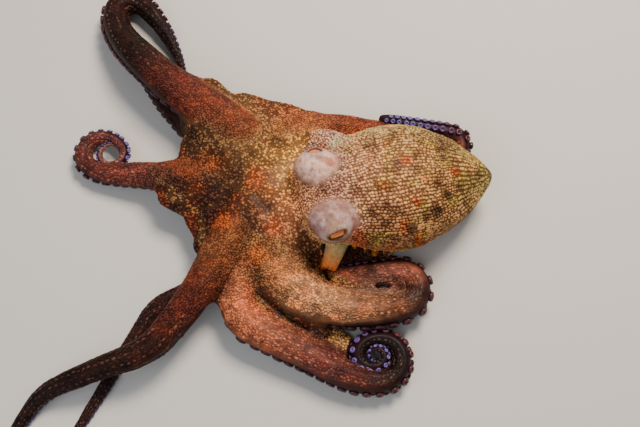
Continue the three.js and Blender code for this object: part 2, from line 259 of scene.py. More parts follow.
def ballGrid(columns, rows):
    # directions of a ball, pole along +Y, with the faces that join them
    theta = np.linspace(0, math.pi, rows + 1)[1:-1]
    phi = np.arange(columns) * 2 * math.pi / columns
    ring = np.stack([
        np.outer(np.sin(theta), np.cos(phi)), np.outer(np.cos(theta), np.ones(columns)),
        np.outer(np.sin(theta), np.sin(phi))], 2).reshape(-1, 3)
    points = np.vstack([ring, [(0, 1, 0), (0, -1, 0)]])
    k = np.arange(columns)
    after = (k + 1) % columns
    strip = np.stack([k, after, after + columns, k + columns], 1)
    quads = [strip + r * columns for r in range(rows - 2)]
    last = (rows - 2) * columns
    caps = np.vstack([
        np.stack([np.full(columns, len(ring)), after, k], 1),
        np.stack([np.full(columns, len(ring) + 1), last + k, last + after], 1)])
    return points, np.vstack(quads), caps


def mantleSwell(p, t):
    # the swell of the mantle this far along it, and its girth, both from 0 to 1
    swell = np.clip(np.sin(math.pi * t ** (math.log(0.5) / math.log(p["widest"]))), 0, 1)
    return swell, swell ** np.where(t < p["widest"], p["frontBlunt"], p["rearBlunt"])


def mantlePoints(p, ball):
    start, end = np.array(p["neck"], float), np.array(p["tip"], float)
    axis = end - start
    across = np.array([-axis[1], axis[0]]) / np.linalg.norm(axis)
    t = (1 - ball[:, 1]) / 2
    ring = np.hypot(ball[:, 0], ball[:, 2])
    ring[ring < 1e-9] = 1
    swell, girth = mantleSwell(p, t)
    wide = -ball[:, 0] / ring * girth * p["halfWidth"]
    rise = -ball[:, 2] / ring
    ends = np.where(t < p["widest"], p["neckZ"], p["tipZ"])
    level = ends + (p["middleZ"] - ends) * swell ** 0.8
    z = level + rise * girth * np.where(rise > 0, p["heightUp"], p["heightDown"])
    xy = start + axis * t[:, None] + across * wide[:, None]
    return np.column_stack([xy, np.maximum(z, -1)])


def webEdge(p, degrees):
    table = np.array([*p["edge"], (360 + p["edge"][0][0], *p["edge"][0][1:])], float)
    turn = np.mod(degrees, 360)
    k = np.clip(np.searchsorted(table[:, 0], turn, "right") - 1, 0, len(table) - 2)
    f = (turn - table[k, 0]) / (table[k + 1, 0] - table[k, 0])
    f = f * f * (3 - 2 * f)
    return [table[k, c] + (table[k + 1, c] - table[k, c]) * f for c in (1, 2)]


def webPoints(p, ball):
    # the ball stands on its pole here: out and height from X, Z and Y
    out, z = np.hypot(ball[:, 0], ball[:, 2]), ball[:, 1]
    angle = np.arctan2(ball[:, 0], ball[:, 2])
    reach, height = webEdge(p, np.degrees(angle))
    f = np.where(out < 0.999, out * (0.55 + 0.45 * out), 1)
    above = p["domeHeight"] + (height - p["domeHeight"]) * f ** p["slope"]
    hollow = np.clip((f * reach - p["padRadius"]) / (reach - p["padRadius"]), 0, 1)
    below = (height - p["edgeThickness"]) * hollow ** 0.7
    level = np.where(np.abs(z) < 0.02, height - p["edgeThickness"] / 2, np.where(z > 0, above, below))
    return np.column_stack([
        p["centre"][0] + np.cos(angle) * reach * f, p["centre"][1] + np.sin(angle) * reach * f, level])


def direction(aim, rise):
    rise, aim = math.radians(rise), math.radians(aim)
    return np.array([math.cos(aim) * math.cos(rise), math.sin(aim) * math.cos(rise), math.sin(rise)])


def eyeCentre(p):
    forward = direction(p["aim"], p["rise"]) * p["forward"]
    return np.array(p["turret"]) + forward + np.array([0, 0, eyeForm["up"]])


def eyeAxes(look, tilt=0):
    # across and tall directions of an eye that looks this way
    across = np.cross([0, 0, 1], look)
    across /= np.linalg.norm(across)
    tall = np.cross(look, across)
    c, s = math.cos(math.radians(tilt)), math.sin(math.radians(tilt))
    return across * c + tall * s, tall * c - across * s


# one field of distances for the whole skin
fieldForm = {
    "voxel": 1.0, "quickVoxel": 1.6, "margin": 9, "band": 11, "armBand": 8.25, "thickArm": 6,
    "coatDepth": 0.5, "armToWeb": 7, "headToMantle": 8, "headToWeb": 8, "neckToHead": 8,
    "turretToHead": 14, "funnelToHead": 3, "papillaToMantle": 1.5, "lidToTurret": 2.5,
    "creasesAbove": 5, "unevenness": 0.45, "unevenSize": 13, "fineUnevenness": 0.16, "fineUnevenSize": 5.2,
    "mostFaces": 196000,
}
voxel = fieldForm["voxel"]
low = np.array(cadBox[0]) / mm - fieldForm["margin"]
high = np.array(cadBox[1]) / mm + fieldForm["margin"]
shape = tuple(int(math.ceil(v)) for v in (high - low) / voxel)
axisX, axisY, axisZ = (
    (low[k] + voxel * np.arange(shape[k], dtype=np.float32)).reshape([-1 if j == k else 1 for j in range(3)])
    for k in range(3))
far = np.float32(fieldForm["band"])


def meshField(points, quads, triangles):
    # signed distance to a closed mesh, in a band either side of it
    transform = openvdb.createLinearTransform(voxelSize=voxel)
    grid = openvdb.FloatGrid.createLevelSetFromPolygons(
        (points - low).astype(np.float32), triangles=triangles.astype(np.uint32),
        quads=quads.astype(np.uint32), transform=transform, halfWidth=fieldForm["band"] / voxel)
    dense = np.full(shape, grid.background, np.float32)
    grid.copyToArray(dense)
    return dense


def ellipsoidField(centre, half, turn=0):
    c, s = math.cos(math.radians(turn)), math.sin(math.radians(turn))
    x, y, z = axisX - centre[0], axisY - centre[1], axisZ - centre[2]
    u, v = (x * c + y * s), (y * c - x * s)
    k0 = np.sqrt((u / half[0]) ** 2 + (v / half[1]) ** 2 + (z / half[2]) ** 2)
    k1 = np.sqrt((u / half[0] ** 2) ** 2 + (v / half[1] ** 2) ** 2 + (z / half[2] ** 2) ** 2)
    return np.clip(k0 * (k0 - 1) / np.maximum(k1, 1e-6), -far, far).astype(np.float32)


def blend(a, b, soft):
    # union with a fillet of about this size
    h = np.maximum(soft - np.abs(a - b), 0) / soft
    return np.minimum(a, b) - h * h * soft * 0.25


def softNoise(cell, seed):
    # an even random field, smooth between points this far apart
    rng = np.random.default_rng(seed)
    values = rng.uniform(-1, 1, [int(n * voxel / cell) + 3 for n in shape]).astype(np.float32)
    for axis, n in enumerate(shape):
        at = np.arange(n) * voxel / cell
        k = at.astype(int)
        f = (at - k).astype(np.float32)
        f = (f * f * (3 - 2 * f)).reshape([-1 if j == axis else 1 for j in range(3)])
        values = np.take(values, k, axis) * (1 - f) + np.take(values, k + 1, axis) * f
    return values


def tubeField(p, radii, shares):
    # a bent tube of balls along the funnel's line
    start, end = np.array(p["start"], float), np.array(p["end"], float)
    field = np.full(shape, far, np.float32)
    for radius, t in zip(radii, shares):
        c = start + (end - start) * t + np.array([0, 0, p["sag"] * math.sin(math.pi * min(t, 1))])
        away = np.sqrt((axisX - c[0]) ** 2 + (axisY - c[1]) ** 2 + (axisZ - c[2]) ** 2)
        field = np.minimum(field, away - radius)
    return field.astype(np.float32)


def armField(route, firstIndex):
    # the arm's box in the grid, its distances there, and the station that owns each cell
    reach = route["radius"][:, None] + fieldForm["armBand"]
    lowCell = np.maximum(((route["middle"] - reach - low) / voxel).astype(int), 0)
    highCell = np.minimum(((route["middle"] + reach - low) / voxel).astype(int) + 2, shape)
    boxLow, boxHigh = lowCell.min(0), highCell.max(0)
    region = tuple(slice(a, b) for a, b in zip(boxLow, boxHigh))
    dist = np.full([b - a for a, b in zip(boxLow, boxHigh)], far, np.float32)
    owner = np.zeros(dist.shape, np.int16)
    squash = np.float32(1 / armForm["oralDepth"] ** 2 - 1)
    for i in range(len(route["along"])):
        if route["radius"][i] > fieldForm["thickArm"] and i % 2:
            continue  # thick stretches need a ball only every other step
        cells = tuple(slice(a, b) for a, b in zip(lowCell[i], highCell[i]))
        local = tuple(slice(a - o, b - o) for a, b, o in zip(lowCell[i], highCell[i], boxLow))
        x = axisX[cells[0]] - np.float32(route["middle"][i, 0])
        y = axisY[:, cells[1]] - np.float32(route["middle"][i, 1])
        z = axisZ[:, :, cells[2]] - np.float32(route["middle"][i, 2])
        ox, oy, oz = (np.float32(v) for v in route["oral"][i])
        down = np.maximum(x * ox + y * oy + z * oz, 0)
        here = np.sqrt(x * x + y * y + z * z + down * down * squash)
        here -= np.float32(route["radius"][i] * armForm["skinGirth"])
        nearer = here < dist[local]
        dist[local][nearer] = here[nearer]
        owner[local][nearer] = firstIndex + i
    return region, dist, owner


def lineDistance(x, y, line):
    # distance in plan to a line of points
    best = np.inf
    for a, b in zip(np.array(line[:-1], float), np.array(line[1:], float)):
        step = b - a
        f = np.clip(((x - a[0]) * step[0] + (y - a[1]) * step[1]) / (step @ step), 0, 1)
        best = np.minimum(best, np.hypot(x - a[0] - f * step[0], y - a[1] - f * step[1]))
    return best


def buildField():
    ball, *faces = ballGrid(96, 64)
    mantle = meshField(mantlePoints(mantleForm, ball), *faces)
    ball, *faces = ballGrid(240, 40)
    web = meshField(webPoints(webForm, ball), *faces)
    for x, y, z, radius in papillae:
        wart = ellipsoidField((x, y, z), (radius, radius * 1.5, radius * 1.2))
        mantle = blend(mantle, wart, fieldForm["papillaToMantle"])
    skull = ellipsoidField(headForm["centre"], headForm["half"], headForm["turn"])
    neck = ellipsoidField(headForm["neck"], headForm["neckHalf"], headForm["turn"])
    head = blend(skull, neck, fieldForm["neckToHead"])
    for side in bothSides:
        turret = ellipsoidField(eyeForm[side]["turret"], headForm["turretHalf"])
        head = blend(head, turret, fieldForm["turretToHead"])
    report("mantle, web and head fields")

    t = np.linspace(0, 1, 24)
    radii = funnelForm["rootRadius"] + (funnelForm["mouthRadius"] - funnelForm["rootRadius"]) * t ** 1.5
    funnel = np.minimum(tubeField(funnelForm, radii, t), far)
    length = math.dist(funnelForm["start"], funnelForm["end"])
    along = np.linspace(1 - funnelForm["boreDepth"] / length, 1.4, 16)
    bore = tubeField(funnelForm, [funnelForm["bore"]] * len(along), along)

    headMantle = blend(head, mantle, fieldForm["headToMantle"])
    whole = np.minimum(blend(web, head, fieldForm["headToWeb"]), headMantle)
    whole = np.minimum(whole, blend(funnel, headMantle, fieldForm["funnelToHead"]))
    whole = np.maximum(whole, -bore)

    armsOnly = np.full(shape, far, np.float32)
    owner = np.full(shape, -1, np.int16)
    first = 0
    for route in routes.values():
        region, dist, own = armField(route, first)
        whole[region] = np.minimum(whole[region], blend(web[region], dist, fieldForm["armToWeb"]))
        nearer = dist < armsOnly[region]
        armsOnly[region][nearer] = dist[nearer]
        owner[region][nearer] = own[nearer]
        first += len(route["along"])
    for p in membranes.values():
        whole = blend(whole, ellipsoidField(p["centre"], p["half"], p["turn"]), p["soft"])
    for p in hollows.values():
        whole = np.maximum(whole, -ellipsoidField(p["centre"], p["half"], p["turn"]))
    for p in creases:
        away = lineDistance(axisX, axisY, p["line"])
        pressed = p["depth"] * np.exp(-(away / p["width"]) ** 2) * (axisZ > fieldForm["creasesAbove"])
        whole += pressed.astype(np.float32)
    report("arm fields")

    # lids: a shell round each eyeball with an oval opening
    for side in bothSides:
        p = eyeForm[side]
        centre, look = eyeCentre(p), direction(p["aim"], p["rise"])
        across, tall = eyeAxes(look, p["tilt"])
        x, y, z = axisX - centre[0], axisY - centre[1], axisZ - centre[2]
        radius = np.sqrt(x * x + y * y + z * z)
        u = x * across[0] + y * across[1] + z * across[2]
        v = x * tall[0] + y * tall[1] + z * tall[2]
        depth = x * look[0] + y * look[1] + z * look[2]
        shell = np.maximum(radius - (eyeForm["radius"] + eyeForm["lid"]), -depth + 1)
        whole = blend(whole, shell.astype(np.float32), fieldForm["lidToTurret"])
        oval = np.sqrt((u / p["openWide"]) ** 2 + (v / p["openTall"]) ** 2)
        opening = np.maximum((oval - 1) * p["openTall"], np.maximum(-depth, radius - 20))
        whole = np.maximum(whole, -opening)
        whole = np.maximum(whole, -(radius - (eyeForm["radius"] + 0.2 - fieldForm["coatDepth"])))
    whole += softNoise(fieldForm["unevenSize"], 3) * fieldForm["unevenness"]
    whole += softNoise(fieldForm["fineUnevenSize"], 4) * fieldForm["fineUnevenness"]
    whole = np.maximum(whole, -axisZ - fieldForm["coatDepth"])
    parts = dict(mantle=mantle, head=head, web=web, funnel=funnel, arms=armsOnly)
    return whole.astype(np.float32), parts, owner


wholeField, partFields, armOwner = buildField()
report("field")


def sampleField(field, points):
    at = np.clip((points - low) / voxel, 0, np.array(shape) - 1.001)
    k = at.astype(int)
    f = at - k
    total = np.zeros(len(points))
    for corner in np.ndindex(2, 2, 2):
        weight = np.prod(np.where(np.array(corner, bool), f, 1 - f), axis=1)
        total += weight * field[tuple((k + corner).T)]
    return total


def fieldSlope(points):
    # the way out of the skin at these points
    steps = np.eye(3) * 0.7 * voxel
    slope = np.column_stack([
        sampleField(wholeField, points + s) - sampleField(wholeField, points - s) for s in steps])
    return slope / (np.linalg.norm(slope, axis=1)[:, None] + 1e-9)


def ontoSkin(points):
    # moves points to the skin, straight out or in
    for _ in range(5):
        gap = sampleField(wholeField, points) + fieldForm["coatDepth"]
        points = points - fieldSlope(points) * gap[:, None] * 0.9
    return points


def skinMesh():
    grid = openvdb.FloatGrid()
    grid.background = float(far)
    grid.copyFromArray(wholeField)
    points, quads = grid.convertToQuads(-fieldForm["coatDepth"])
    points = points * voxel + low
    points[:, 2] = np.maximum(points[:, 2], 0)
    # keep the one large body, drop any crumb that the opening of an eye or fold cut off
    label = np.arange(len(points))
    while True:
        least = label[quads].min(1)
        before = label.copy()
        for c in range(4):
            np.minimum.at(label, quads[:, c], least)
        label = label[label]
        if (label == before).all():
            break
    names, counts = np.unique(label, return_counts=True)
    quads = quads[label[quads[:, 0]] == names[counts.argmax()]]
    used, quads = np.unique(quads, return_inverse=True)
    mesh = bpy.data.meshes.new("skin")
    mesh.from_pydata((points[used] * mm).tolist(), [], quads.reshape(-1, 4).tolist())
    mesh.update()
    return mesh


def joinedObject(name, mesh, nodes):
    piece = bpy.data.objects.new(name, mesh)
    bpy.context.scene.collection.objects.link(piece)
    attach(piece, "root")
    if nodes:
        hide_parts(*nodes)
    return piece


def evaluatedMesh(piece):
    bpy.context.view_layer.update()
    return bpy.data.meshes.new_from_object(piece.evaluated_get(bpy.context.evaluated_depsgraph_get()))


def thinned(mesh, most):
    # fewer, larger faces where the form is plain
    count = sum(len(p.vertices) - 2 for p in mesh.polygons)
    if count <= most:
        return mesh
    holder = bpy.data.objects.new("thinning", mesh)
    bpy.context.scene.collection.objects.link(holder)
    step = holder.modifiers.new("fewer", "DECIMATE")
    step.ratio = most / count
    made = evaluatedMesh(holder)
    bpy.data.objects.remove(holder)
    return made


def readAll(items, key, width, kind=float):
    # one property of every item, a row each when it is wider than one number
    values = np.empty(len(items) * width, kind)
    items.foreach_get(key, values)
    return values.reshape(-1, width) if width > 1 else values


def outward(mesh):
    # turns the faces round if the volume they close comes out negative
    co = readAll(mesh.vertices, "co", 3)
    mesh.calc_loop_triangles()
    a, b, c = (co[corner] for corner in readAll(mesh.loop_triangles, "vertices", 3, np.int32).T)
    if (a * np.cross(b, c)).sum() < 0:
        mesh.flip_normals()
    return mesh


def smoothFaces(mesh):
    mesh.polygons.foreach_set("use_smooth", np.ones(len(mesh.polygons), bool))
    return mesh


def setAttribute(mesh, name, kind, values, domain="POINT"):
    field = {"FLOAT": "value", "FLOAT_VECTOR": "vector", "FLOAT_COLOR": "color", "FLOAT2": "vector"}[kind]
    layer = mesh.attributes.new(name, kind, domain)
    layer.data.foreach_set(field, np.asarray(values, np.float32).ravel())


skinData = thinned(outward(skinMesh()), fieldForm["mostFaces"])
report(f"skin mesh, {len(skinData.polygons)} faces")

# the stations of all arms, one arm after the other
allMiddle, allAhead, allOral, allSide, allRadius, allAlong = (
    np.concatenate([r[key] for r in routes.values()])
    for key in ("middle", "ahead", "oral", "side", "radius", "along"))
allShare = np.concatenate([r["along"] / r["along"][-1] for r in routes.values()])
allArm = np.concatenate([np.full(len(r["along"]), k) for k, r in enumerate(routes.values())])


def stationOf(points):
    cell = np.clip(np.round((points - low) / voxel).astype(int), 0, np.array(shape) - 1)
    return armOwner[cell[:, 0], cell[:, 1], cell[:, 2]].astype(int)


# a part's share falls off from this depth inside it, and ends where the fall reaches the cut
shareForm = {"depth": 2, "softness": 2.6, "cut": 0.14, "least": 1e-6}


def placeOf(points):
    # soft shares of mantle, head, web, funnel and arms, and the point's own place along and round an arm
    weight = {}
    for part in ("mantle", "head", "web", "funnel", "arms"):
        out = np.maximum(sampleField(partFields[part], points), -shareForm["depth"])
        weight[part] = np.maximum(np.exp(-out / shareForm["softness"]) - shareForm["cut"], shareForm["least"])
    total = sum(weight.values())
    share = {k: v / total for k, v in weight.items()}
    station = stationOf(points)
    onArm = station >= 0
    k = np.maximum(station, 0)
    off = points - allMiddle[k]
    ahead, down, across = ((off * v[k]).sum(1) for v in (allAhead, allOral, allSide))
    size = np.sqrt(ahead ** 2 + down ** 2 + across ** 2) + 1e-6
    share["arms"] = np.where(onArm, share["arms"], 0)
    return dict(
        share=share, station=k, along=allAlong[k] + ahead, round=np.arctan2(across, -down),
        oral=np.where(onArm, down / size, -1) * share["arms"], radius=allRadius[k], arm=allArm[k],
        progress=allShare[k])


def noiseAt(points, cell, seed):
    # smooth noise from -1 to 1, with features about one cell wide
    table = np.random.default_rng(seed).uniform(-1, 1, (64, 64, 64))
    at = points / cell
    k = np.floor(at).astype(int)
    f = at - k
    f = f * f * (3 - 2 * f)
    total = np.zeros(len(points))
    for corner in np.ndindex(2, 2, 2):
        weight = np.prod(np.where(np.array(corner, bool), f, 1 - f), axis=1)
        total += weight * table[tuple((k + corner).T % 64)]
    return total


def rising(values, start, end):
    f = np.clip((values - start) / (end - start), 0, 1)
    return f * f * (3 - 2 * f)


# long soft folds in the skin of the arms
foldForm = {"folds": 7, "depth": 0.32, "wander": 1.6, "wanderEvery": 19, "fullRadius": 10}
skinPoints = readAll(skinData.vertices, "co", 3) / mm
skinNormals = readAll(skinData.vertex_normals, "vector", 3)
skinPlace = placeOf(skinPoints)
turned = foldForm["folds"] * skinPlace["round"]
turned += foldForm["wander"] * np.sin(skinPlace["along"] / foldForm["wanderEvery"])
fold = foldForm["depth"] * np.cos(turned) * skinPlace["share"]["arms"] * rising(skinPlace["oral"], 0.3, -0.1)
fold *= np.clip(skinPlace["radius"] / foldForm["fullRadius"], 0, 1) * (skinPoints[:, 2] > 0.5)
skinPoints = skinPoints + skinNormals * fold[:, None]
skinPoints[:, 2] = np.maximum(skinPoints[:, 2], 0)
skinData.vertices.foreach_set("co", (skinPoints * mm).astype(np.float32).ravel())
skinData.update()
smoothFaces(skinData)

# markings: soft fields of colour, the same for skin and coat; besides the body's own markings they hold
# painted shade and painted light, noted where each is set
palette = {
    # x, y, reach in mm, colour
    "web": [(-12, -8, 34, "3e1a12"), (-15, 45, 26, "8e6e46"), (28, 16, 19, "fcc662"), (-50, -8, 26, "42241e"),
            (0, -78, 28, "322416"), (70, -105, 22, "4c3226"), (26, -20, 16, "e8a070"),
            # the dark one at (-60, 45) is painted shadow: the third right arm's shadow on the web
            (24, -50, 18, "56402a"), (34, 62, 20, "885034"), (-60, 45, 24, "241010"),
            (-34, -46, 22, "2c1c16")],
    # the mantle's darker colours low on its side and towards the rear are partly its own colour and partly
    # painted shade
    "mantle": [(80, 0, 20, "c89670"), (118, 2, 22, "ce9c62"), (106, 44, 24, "8c7e50"), (150, 8, 22, "523e20"),
               (176, 14, 16, "a49652"), (104, -40, 24, "8a5e3a")],
    "head": [(54, -12, 12, "a87860"), (70, -6, 16, "aa8a7c"), (30, -10, 16, "c88c58"),
             (50, -50, 12, "b88a54")],
    # the funnel's own pale yellow-green and orange, made paler still as painted light where it lies in shade
    # under the head
    "funnel": [(63, -42, 8, "ccd08c"), (54, -58, 8, "e87a2c")],
    # arm colours from root to tip; the darkest are partly the arms' own deep red and partly painted shade, as
    # on the third right arm's middle and the third left arm's coil
    "right1": ["482414", "5c322c", "562c2a", "583032", "6c4644"],
    "right2": ["4c2820", "2c1412", "200e0e", "3a2028"],
    "right3": ["6a3a24", "54261e", "0c0404", "260c0c", "120608", "180c18"],
    "right4": ["784224", "743a22", "703622", "4a2428", "30161e"],
    "left1": ["784828", "4a1e16", "28100c", "1a0604", "120606", "180a0a"],
    "left2": ["3c1c18", "240e10", "1c0c0e", "200e16"],
    "left3": ["8e5636", "ac6444", "60322e", "100608", "080408", "160a1e"],
    # the fifth colour of the fourth left arm is painted light: the top of its return limb, in shade under the
    # mantle, painted pale
    "left4": ["86592f", "ac7c56", "845a40", "200808", "f08868", "5c2c28"],
}
# a turret's colours: round the lids from and to these mm, elsewhere by height in mm
turretForm = {"lid": (16, 11), "foot": (52, 59), "cap": (58, 65)}
# the right turret's paler tone and the left turret's darker one are painted light and painted shade on the
# same skin; the edge tone darkening each turret's foot is partly painted shade
turretTones = {"right": "fccab2", "left": "b0908c", "edge": "a47c68", "fleck": "84584c", "bright": "ecd8d0"}
blotches = [
    # x, y, radius in mm, strength, colour: orange and dark blotches
    (111, 8, 3.4, 0.85, "b0500f"), (149, 3, 3.8, 0.85, "a84c0e"), (95, -11, 2.8, 0.7, "ac5414"),
    (126, -5, 2.6, 0.5, "a6500f"), (119, -22, 3.0, 0.8, "aa4812"), (110, -37, 3.6, 0.7, "a04c10"),
    (123, -44, 3.2, 0.8, "a44e0e"), (98, 22, 4, 0.4, "a45210"), (102, -50, 2.6, 0.6, "ac4c1c"),
    (120, 2, 3, 0.6, "381408"), (134, -26, 3.8, 0.85, "200c08"), (143, -14, 3.6, 0.85, "240e0a"),
    (136, -6, 3.4, 0.7, "38160c"), (139, 14, 3.4, 0.7, "2c1c12"), (116, -38, 3.6, 0.8, "220e0a"),
    (98, -36, 3, 0.65, "2a0e08"), (96, -24, 2.6, 0.6, "30120a"), (88, -28, 2.6, 0.6, "381408"),
    (126, -30, 3, 0.75, "34120a"), (76, -14, 4, 0.5, "7a4430"), (84, 10, 4, 0.4, "8a5038"),
    (58, 8, 4.4, 0.75, "b4604a"), (66, -27, 4.2, 0.7, "8a5c50"), (53, -12, 3.2, 0.7, "4e3020"),
    (62, -11, 3.4, 0.55, "6a3c2e"), (46, -14, 2.6, 0.55, "5a3626"), (52, 29, 4.4, 0.8, "94503c"),
    (43, 31, 5, 0.6, "9a8682"), (62, 32, 4.6, 0.7, "a8b48c"), (78, -45, 5, 0.9, "b05c38"),
    (-22, -28, 7, 0.6, "b0521e"), (2, 4, 6, 0.6, "b4541f"), (16, -32, 6, 0.6, "bc5a24"),
    (-30, 18, 6, 0.5, "9a4a20"), (4, -54, 7, 0.6, "b05a24"), (-44, -2, 6, 0.5, "8e4420"),
    (10, -18, 5, 0.6, "3e1c12"), (-14, 8, 6, 0.6, "3a1c12"), (-30, -22, 6, 0.55, "40201a"),
    (-4, -36, 5, 0.6, "42200f"), (18, 36, 6, 0.5, "4c3020"), (-22, 44, 7, 0.55, "402418"),
]
# the same, but only below this height in mm, where the others stop; the last one is painted shade, dark over
# the sheet under the mantle
lowBlotchesAndShade = [(88, -71, 15, 0.75, "7e6050"), (100, -70, 12, 0.6, "7c6054"), (80, -38, 20, 0.9, "4c2014")]
lowBlotchTop = 24
lidTones = {"rim": "3c2018", "fold": "d8c4bc"}
papillaTone = "d89a3c"
oralTone = {"skin": "240e16", "full": 0.5}
mottling = {
    # size in mm, from and to which strength of noise, most of it, colour or what the colour is multiplied by
    "web": [(9, 0.12, 0.55, 0.36, "2e150c"), (12, 0.05, 0.45, 0.32, "a04c22"), (8, 0.2, 0.7, 0.25, "c49a5c"),
            (4, 0.15, 0.6, 0.5, (0.5, 0.42, 0.4)), (4.4, 0.2, 0.6, 0.5, (1.6, 1.4, 1.2))],
    "mantle": [(7, 0.25, 0.6, 0.62, "44281a"), (11, 0.15, 0.6, 0.3, "d8a468"), (9, 0.2, 0.6, 0.5, "a08c40"),
               (3.6, 0.1, 0.6, 0.6, (0.5, 0.42, 0.38)), (4.4, 0.2, 0.7, 0.4, (1.35, 1.3, 1.2))],
    "arms": [(8, 0.15, 0.6, 0.6, (0.45, 0.4, 0.45)), (10, 0.2, 0.6, 0.7, (1.8, 1.4, 1.1)),
             (3.2, 0.15, 0.6, 0.6, (0.4, 0.35, 0.4)), (4, 0.2, 0.7, 0.5, (1.7, 1.5, 1.3))],
}


def colors(codes):
    return np.array([hexColor(c)[:3] for c in codes])


def anchored(points, rows):
    weight = np.stack([np.exp(-((points[:, 0] - x) ** 2 + (points[:, 1] - y) ** 2) / (2 * r * r)) + 1e-9
                       for x, y, r, _ in rows], 1)
    return (weight @ colors([c for *_, c in rows])) / weight.sum(1)[:, None]


def lidOval(p, points):
    # 1 at the edge of the eye's opening, more outside it
    off = points - eyeCentre(p)
    look = direction(p["aim"], p["rise"])
    across, tall = eyeAxes(look, p["tilt"])
    oval = np.hypot(off @ across / p["openWide"], off @ tall / p["openTall"])
    return np.where(off @ look > 2, oval, 9)


def turretAway(points, sides=bothSides):
    # 1 at the surface of the nearest turret, more outside it
    away = [(points - np.array(eyeForm[side]["turret"])) / headForm["turretHalf"] for side in sides]
    return np.min([np.linalg.norm(v, axis=1) for v in away], 0)


def eyeAway(points, sides=bothSides):
    return np.min([np.linalg.norm(points - eyeCentre(eyeForm[side]), axis=1) for side in sides], 0)


def raggedHeight(points):
    return points[:, 2] + 2.5 * noiseAt(points, 5, 85)


def markingsAndPaintedLight(points, place):
    share = place["share"]
    parts = ("web", "mantle", "head", "funnel")
    total = sum(anchored(points, palette[part]) * share[part][:, None] for part in parts)
    armColor = np.zeros_like(total)
    for k, name in enumerate(routes):
        on = place["arm"] == k
        tones = colors(palette[name])
        for c in range(3):
            armColor[on, c] = np.interp(place["progress"][on], np.linspace(0, 1, len(tones)), tones[:, c])
    total += armColor * share["arms"][:, None]

    def paint(mix, code):
        return total * (1 - mix[:, None]) + colors([code]) * mix[:, None]

    for part, seed in (("web", 40), ("mantle", 50), ("arms", 60)):
        for k, (cell, start, end, most, code) in enumerate(mottling[part]):
            mix = rising(noiseAt(points, cell, seed + k), start, end) * most * share[part]
            if isinstance(code, str):
                total = paint(mix, code)
            else:
                total = total * (1 + mix[:, None] * (np.array(code) - 1))
    height = raggedHeight(points)
    fine, coarse = rising(noiseAt(points, 1.7, 82), 0.15, 0.6), rising(noiseAt(points, 5, 83), 0.1, 0.6)
    flecks = fine * 0.45 + coarse * 0.5
    bright = rising(noiseAt(points, 4, 84), 0.1, 0.7) * 0.5
    for side in bothSides:
        away = turretAway(points, [side])
        away += 0.09 * noiseAt(points, 4, 80) + 0.05 * noiseAt(points, 1.8, 81)
        lidNear = rising(eyeAway(points, [side]), *turretForm["lid"])
        top = np.maximum(rising(height, *turretForm["foot"]), lidNear)
        cap = np.maximum(rising(height, *turretForm["cap"]), lidNear)
        # painted light on the right turret and painted shade on the left one, by the side's tone; the edge
        # tone is partly painted shade
        for start, end, amount, tone in (
            (1.3, 1.1, top * 0.7, "edge"), (1.22, 1.02, cap * 0.9, side),
            (1.3, 1.1, top * flecks, "fleck"), (1.2, 1.0, top * bright, "bright"),
        ):
            total = paint(rising(away, start, end) * amount, turretTones[tone])
    # blotches of the body's own colour, and low down the painted shade under the mantle
    for blotch in blotches + lowBlotchesAndShade:
        x, y, r, strength, code = blotch
        near = np.hypot(points[:, 0] - x, points[:, 1] - y) < 3 * r
        near &= (points[:, 2] < lowBlotchTop) == (blotch in lowBlotchesAndShade)
        ragged = 1 + 0.4 * noiseAt(points[near], 3.5, 70)
        away = np.hypot(points[near, 0] - x, points[near, 1] - y) / (r * ragged)
        mix = np.zeros(len(points))
        mix[near] = np.clip(strength * 1.6 * np.exp(-away ** 2.2), 0, strength)
        total = paint(mix, code)
    for side in bothSides:
        # the rim of the lids is dark, with a pale fold round it
        oval = lidOval(eyeForm[side], points)
        total = paint(rising(oval, 2.6, 1.9) * 0.5, lidTones["fold"])
        total = paint(rising(oval, 1.6, 1.25) * 0.7, lidTones["rim"])
    for x, y, z, radius in papillae:
        away = np.linalg.norm(points - np.array([x, y, z]), axis=1)
        total = paint(rising(away, radius * 2.4, radius * 1.3) * 0.9, papillaTone)
    # painted shade along the pressed lines, painted light along the raised one
    for p in creases:
        away = lineDistance(points[:, 0], points[:, 1], p["line"]) / p["width"]
        pressed = np.exp(-away ** 2) * (points[:, 2] > fieldForm["creasesAbove"])
        total = total * (1 + (p["tone"] - 1) * pressed)[:, None]
    mix = np.clip(place["oral"] / oralTone["full"], 0, 1)
    return np.clip(paint(mix, oralTone["skin"]), 0, 1)


def withAlpha(rgb):
    return np.column_stack([rgb, np.ones(len(rgb))])


# where the skin is smooth: high on the turrets, round the lids, and on the funnel
smoothForm = {
    "height": (55, 61), "turret": (1.32, 1.1), "lid": (16, 12), "funnel": (0.3, 0.6), "noGranules": 12.5,
}
share = skinPlace["share"]
bare = np.clip((skinPlace["oral"] + 0.15) * 4, 0, 1)
nearEye = eyeAway(skinPoints)
smooth = np.maximum(
    rising(raggedHeight(skinPoints), *smoothForm["height"]), rising(nearEye, *smoothForm["lid"]))
smooth = rising(turretAway(skinPoints), *smoothForm["turret"]) * smooth
smooth = np.maximum(smooth, rising(share["funnel"], *smoothForm["funnel"]))
setAttribute(skinData, "tint", "FLOAT_COLOR", withAlpha(markingsAndPaintedLight(skinPoints, skinPlace)))
cobbled = (1 - smooth) * (1 - 0.55 * share["arms"]) * (1 - bare * share["arms"])
setAttribute(skinData, "cobbled", "FLOAT", cobbled)
report("markingsAndPaintedLight")


def setInput(tree, socket, value):
    if isinstance(value, bpy.types.NodeSocket):
        tree.links.new(value, socket)
    else:
        socket.default_value = value


def addNode(tree, kind, inputs=None, **settings):
    node = tree.nodes.new(kind)
    for key, value in settings.items():
        setattr(node, key, value)
    for key, value in (inputs or {}).items():
        setInput(tree, node.inputs[key], value)
    return node


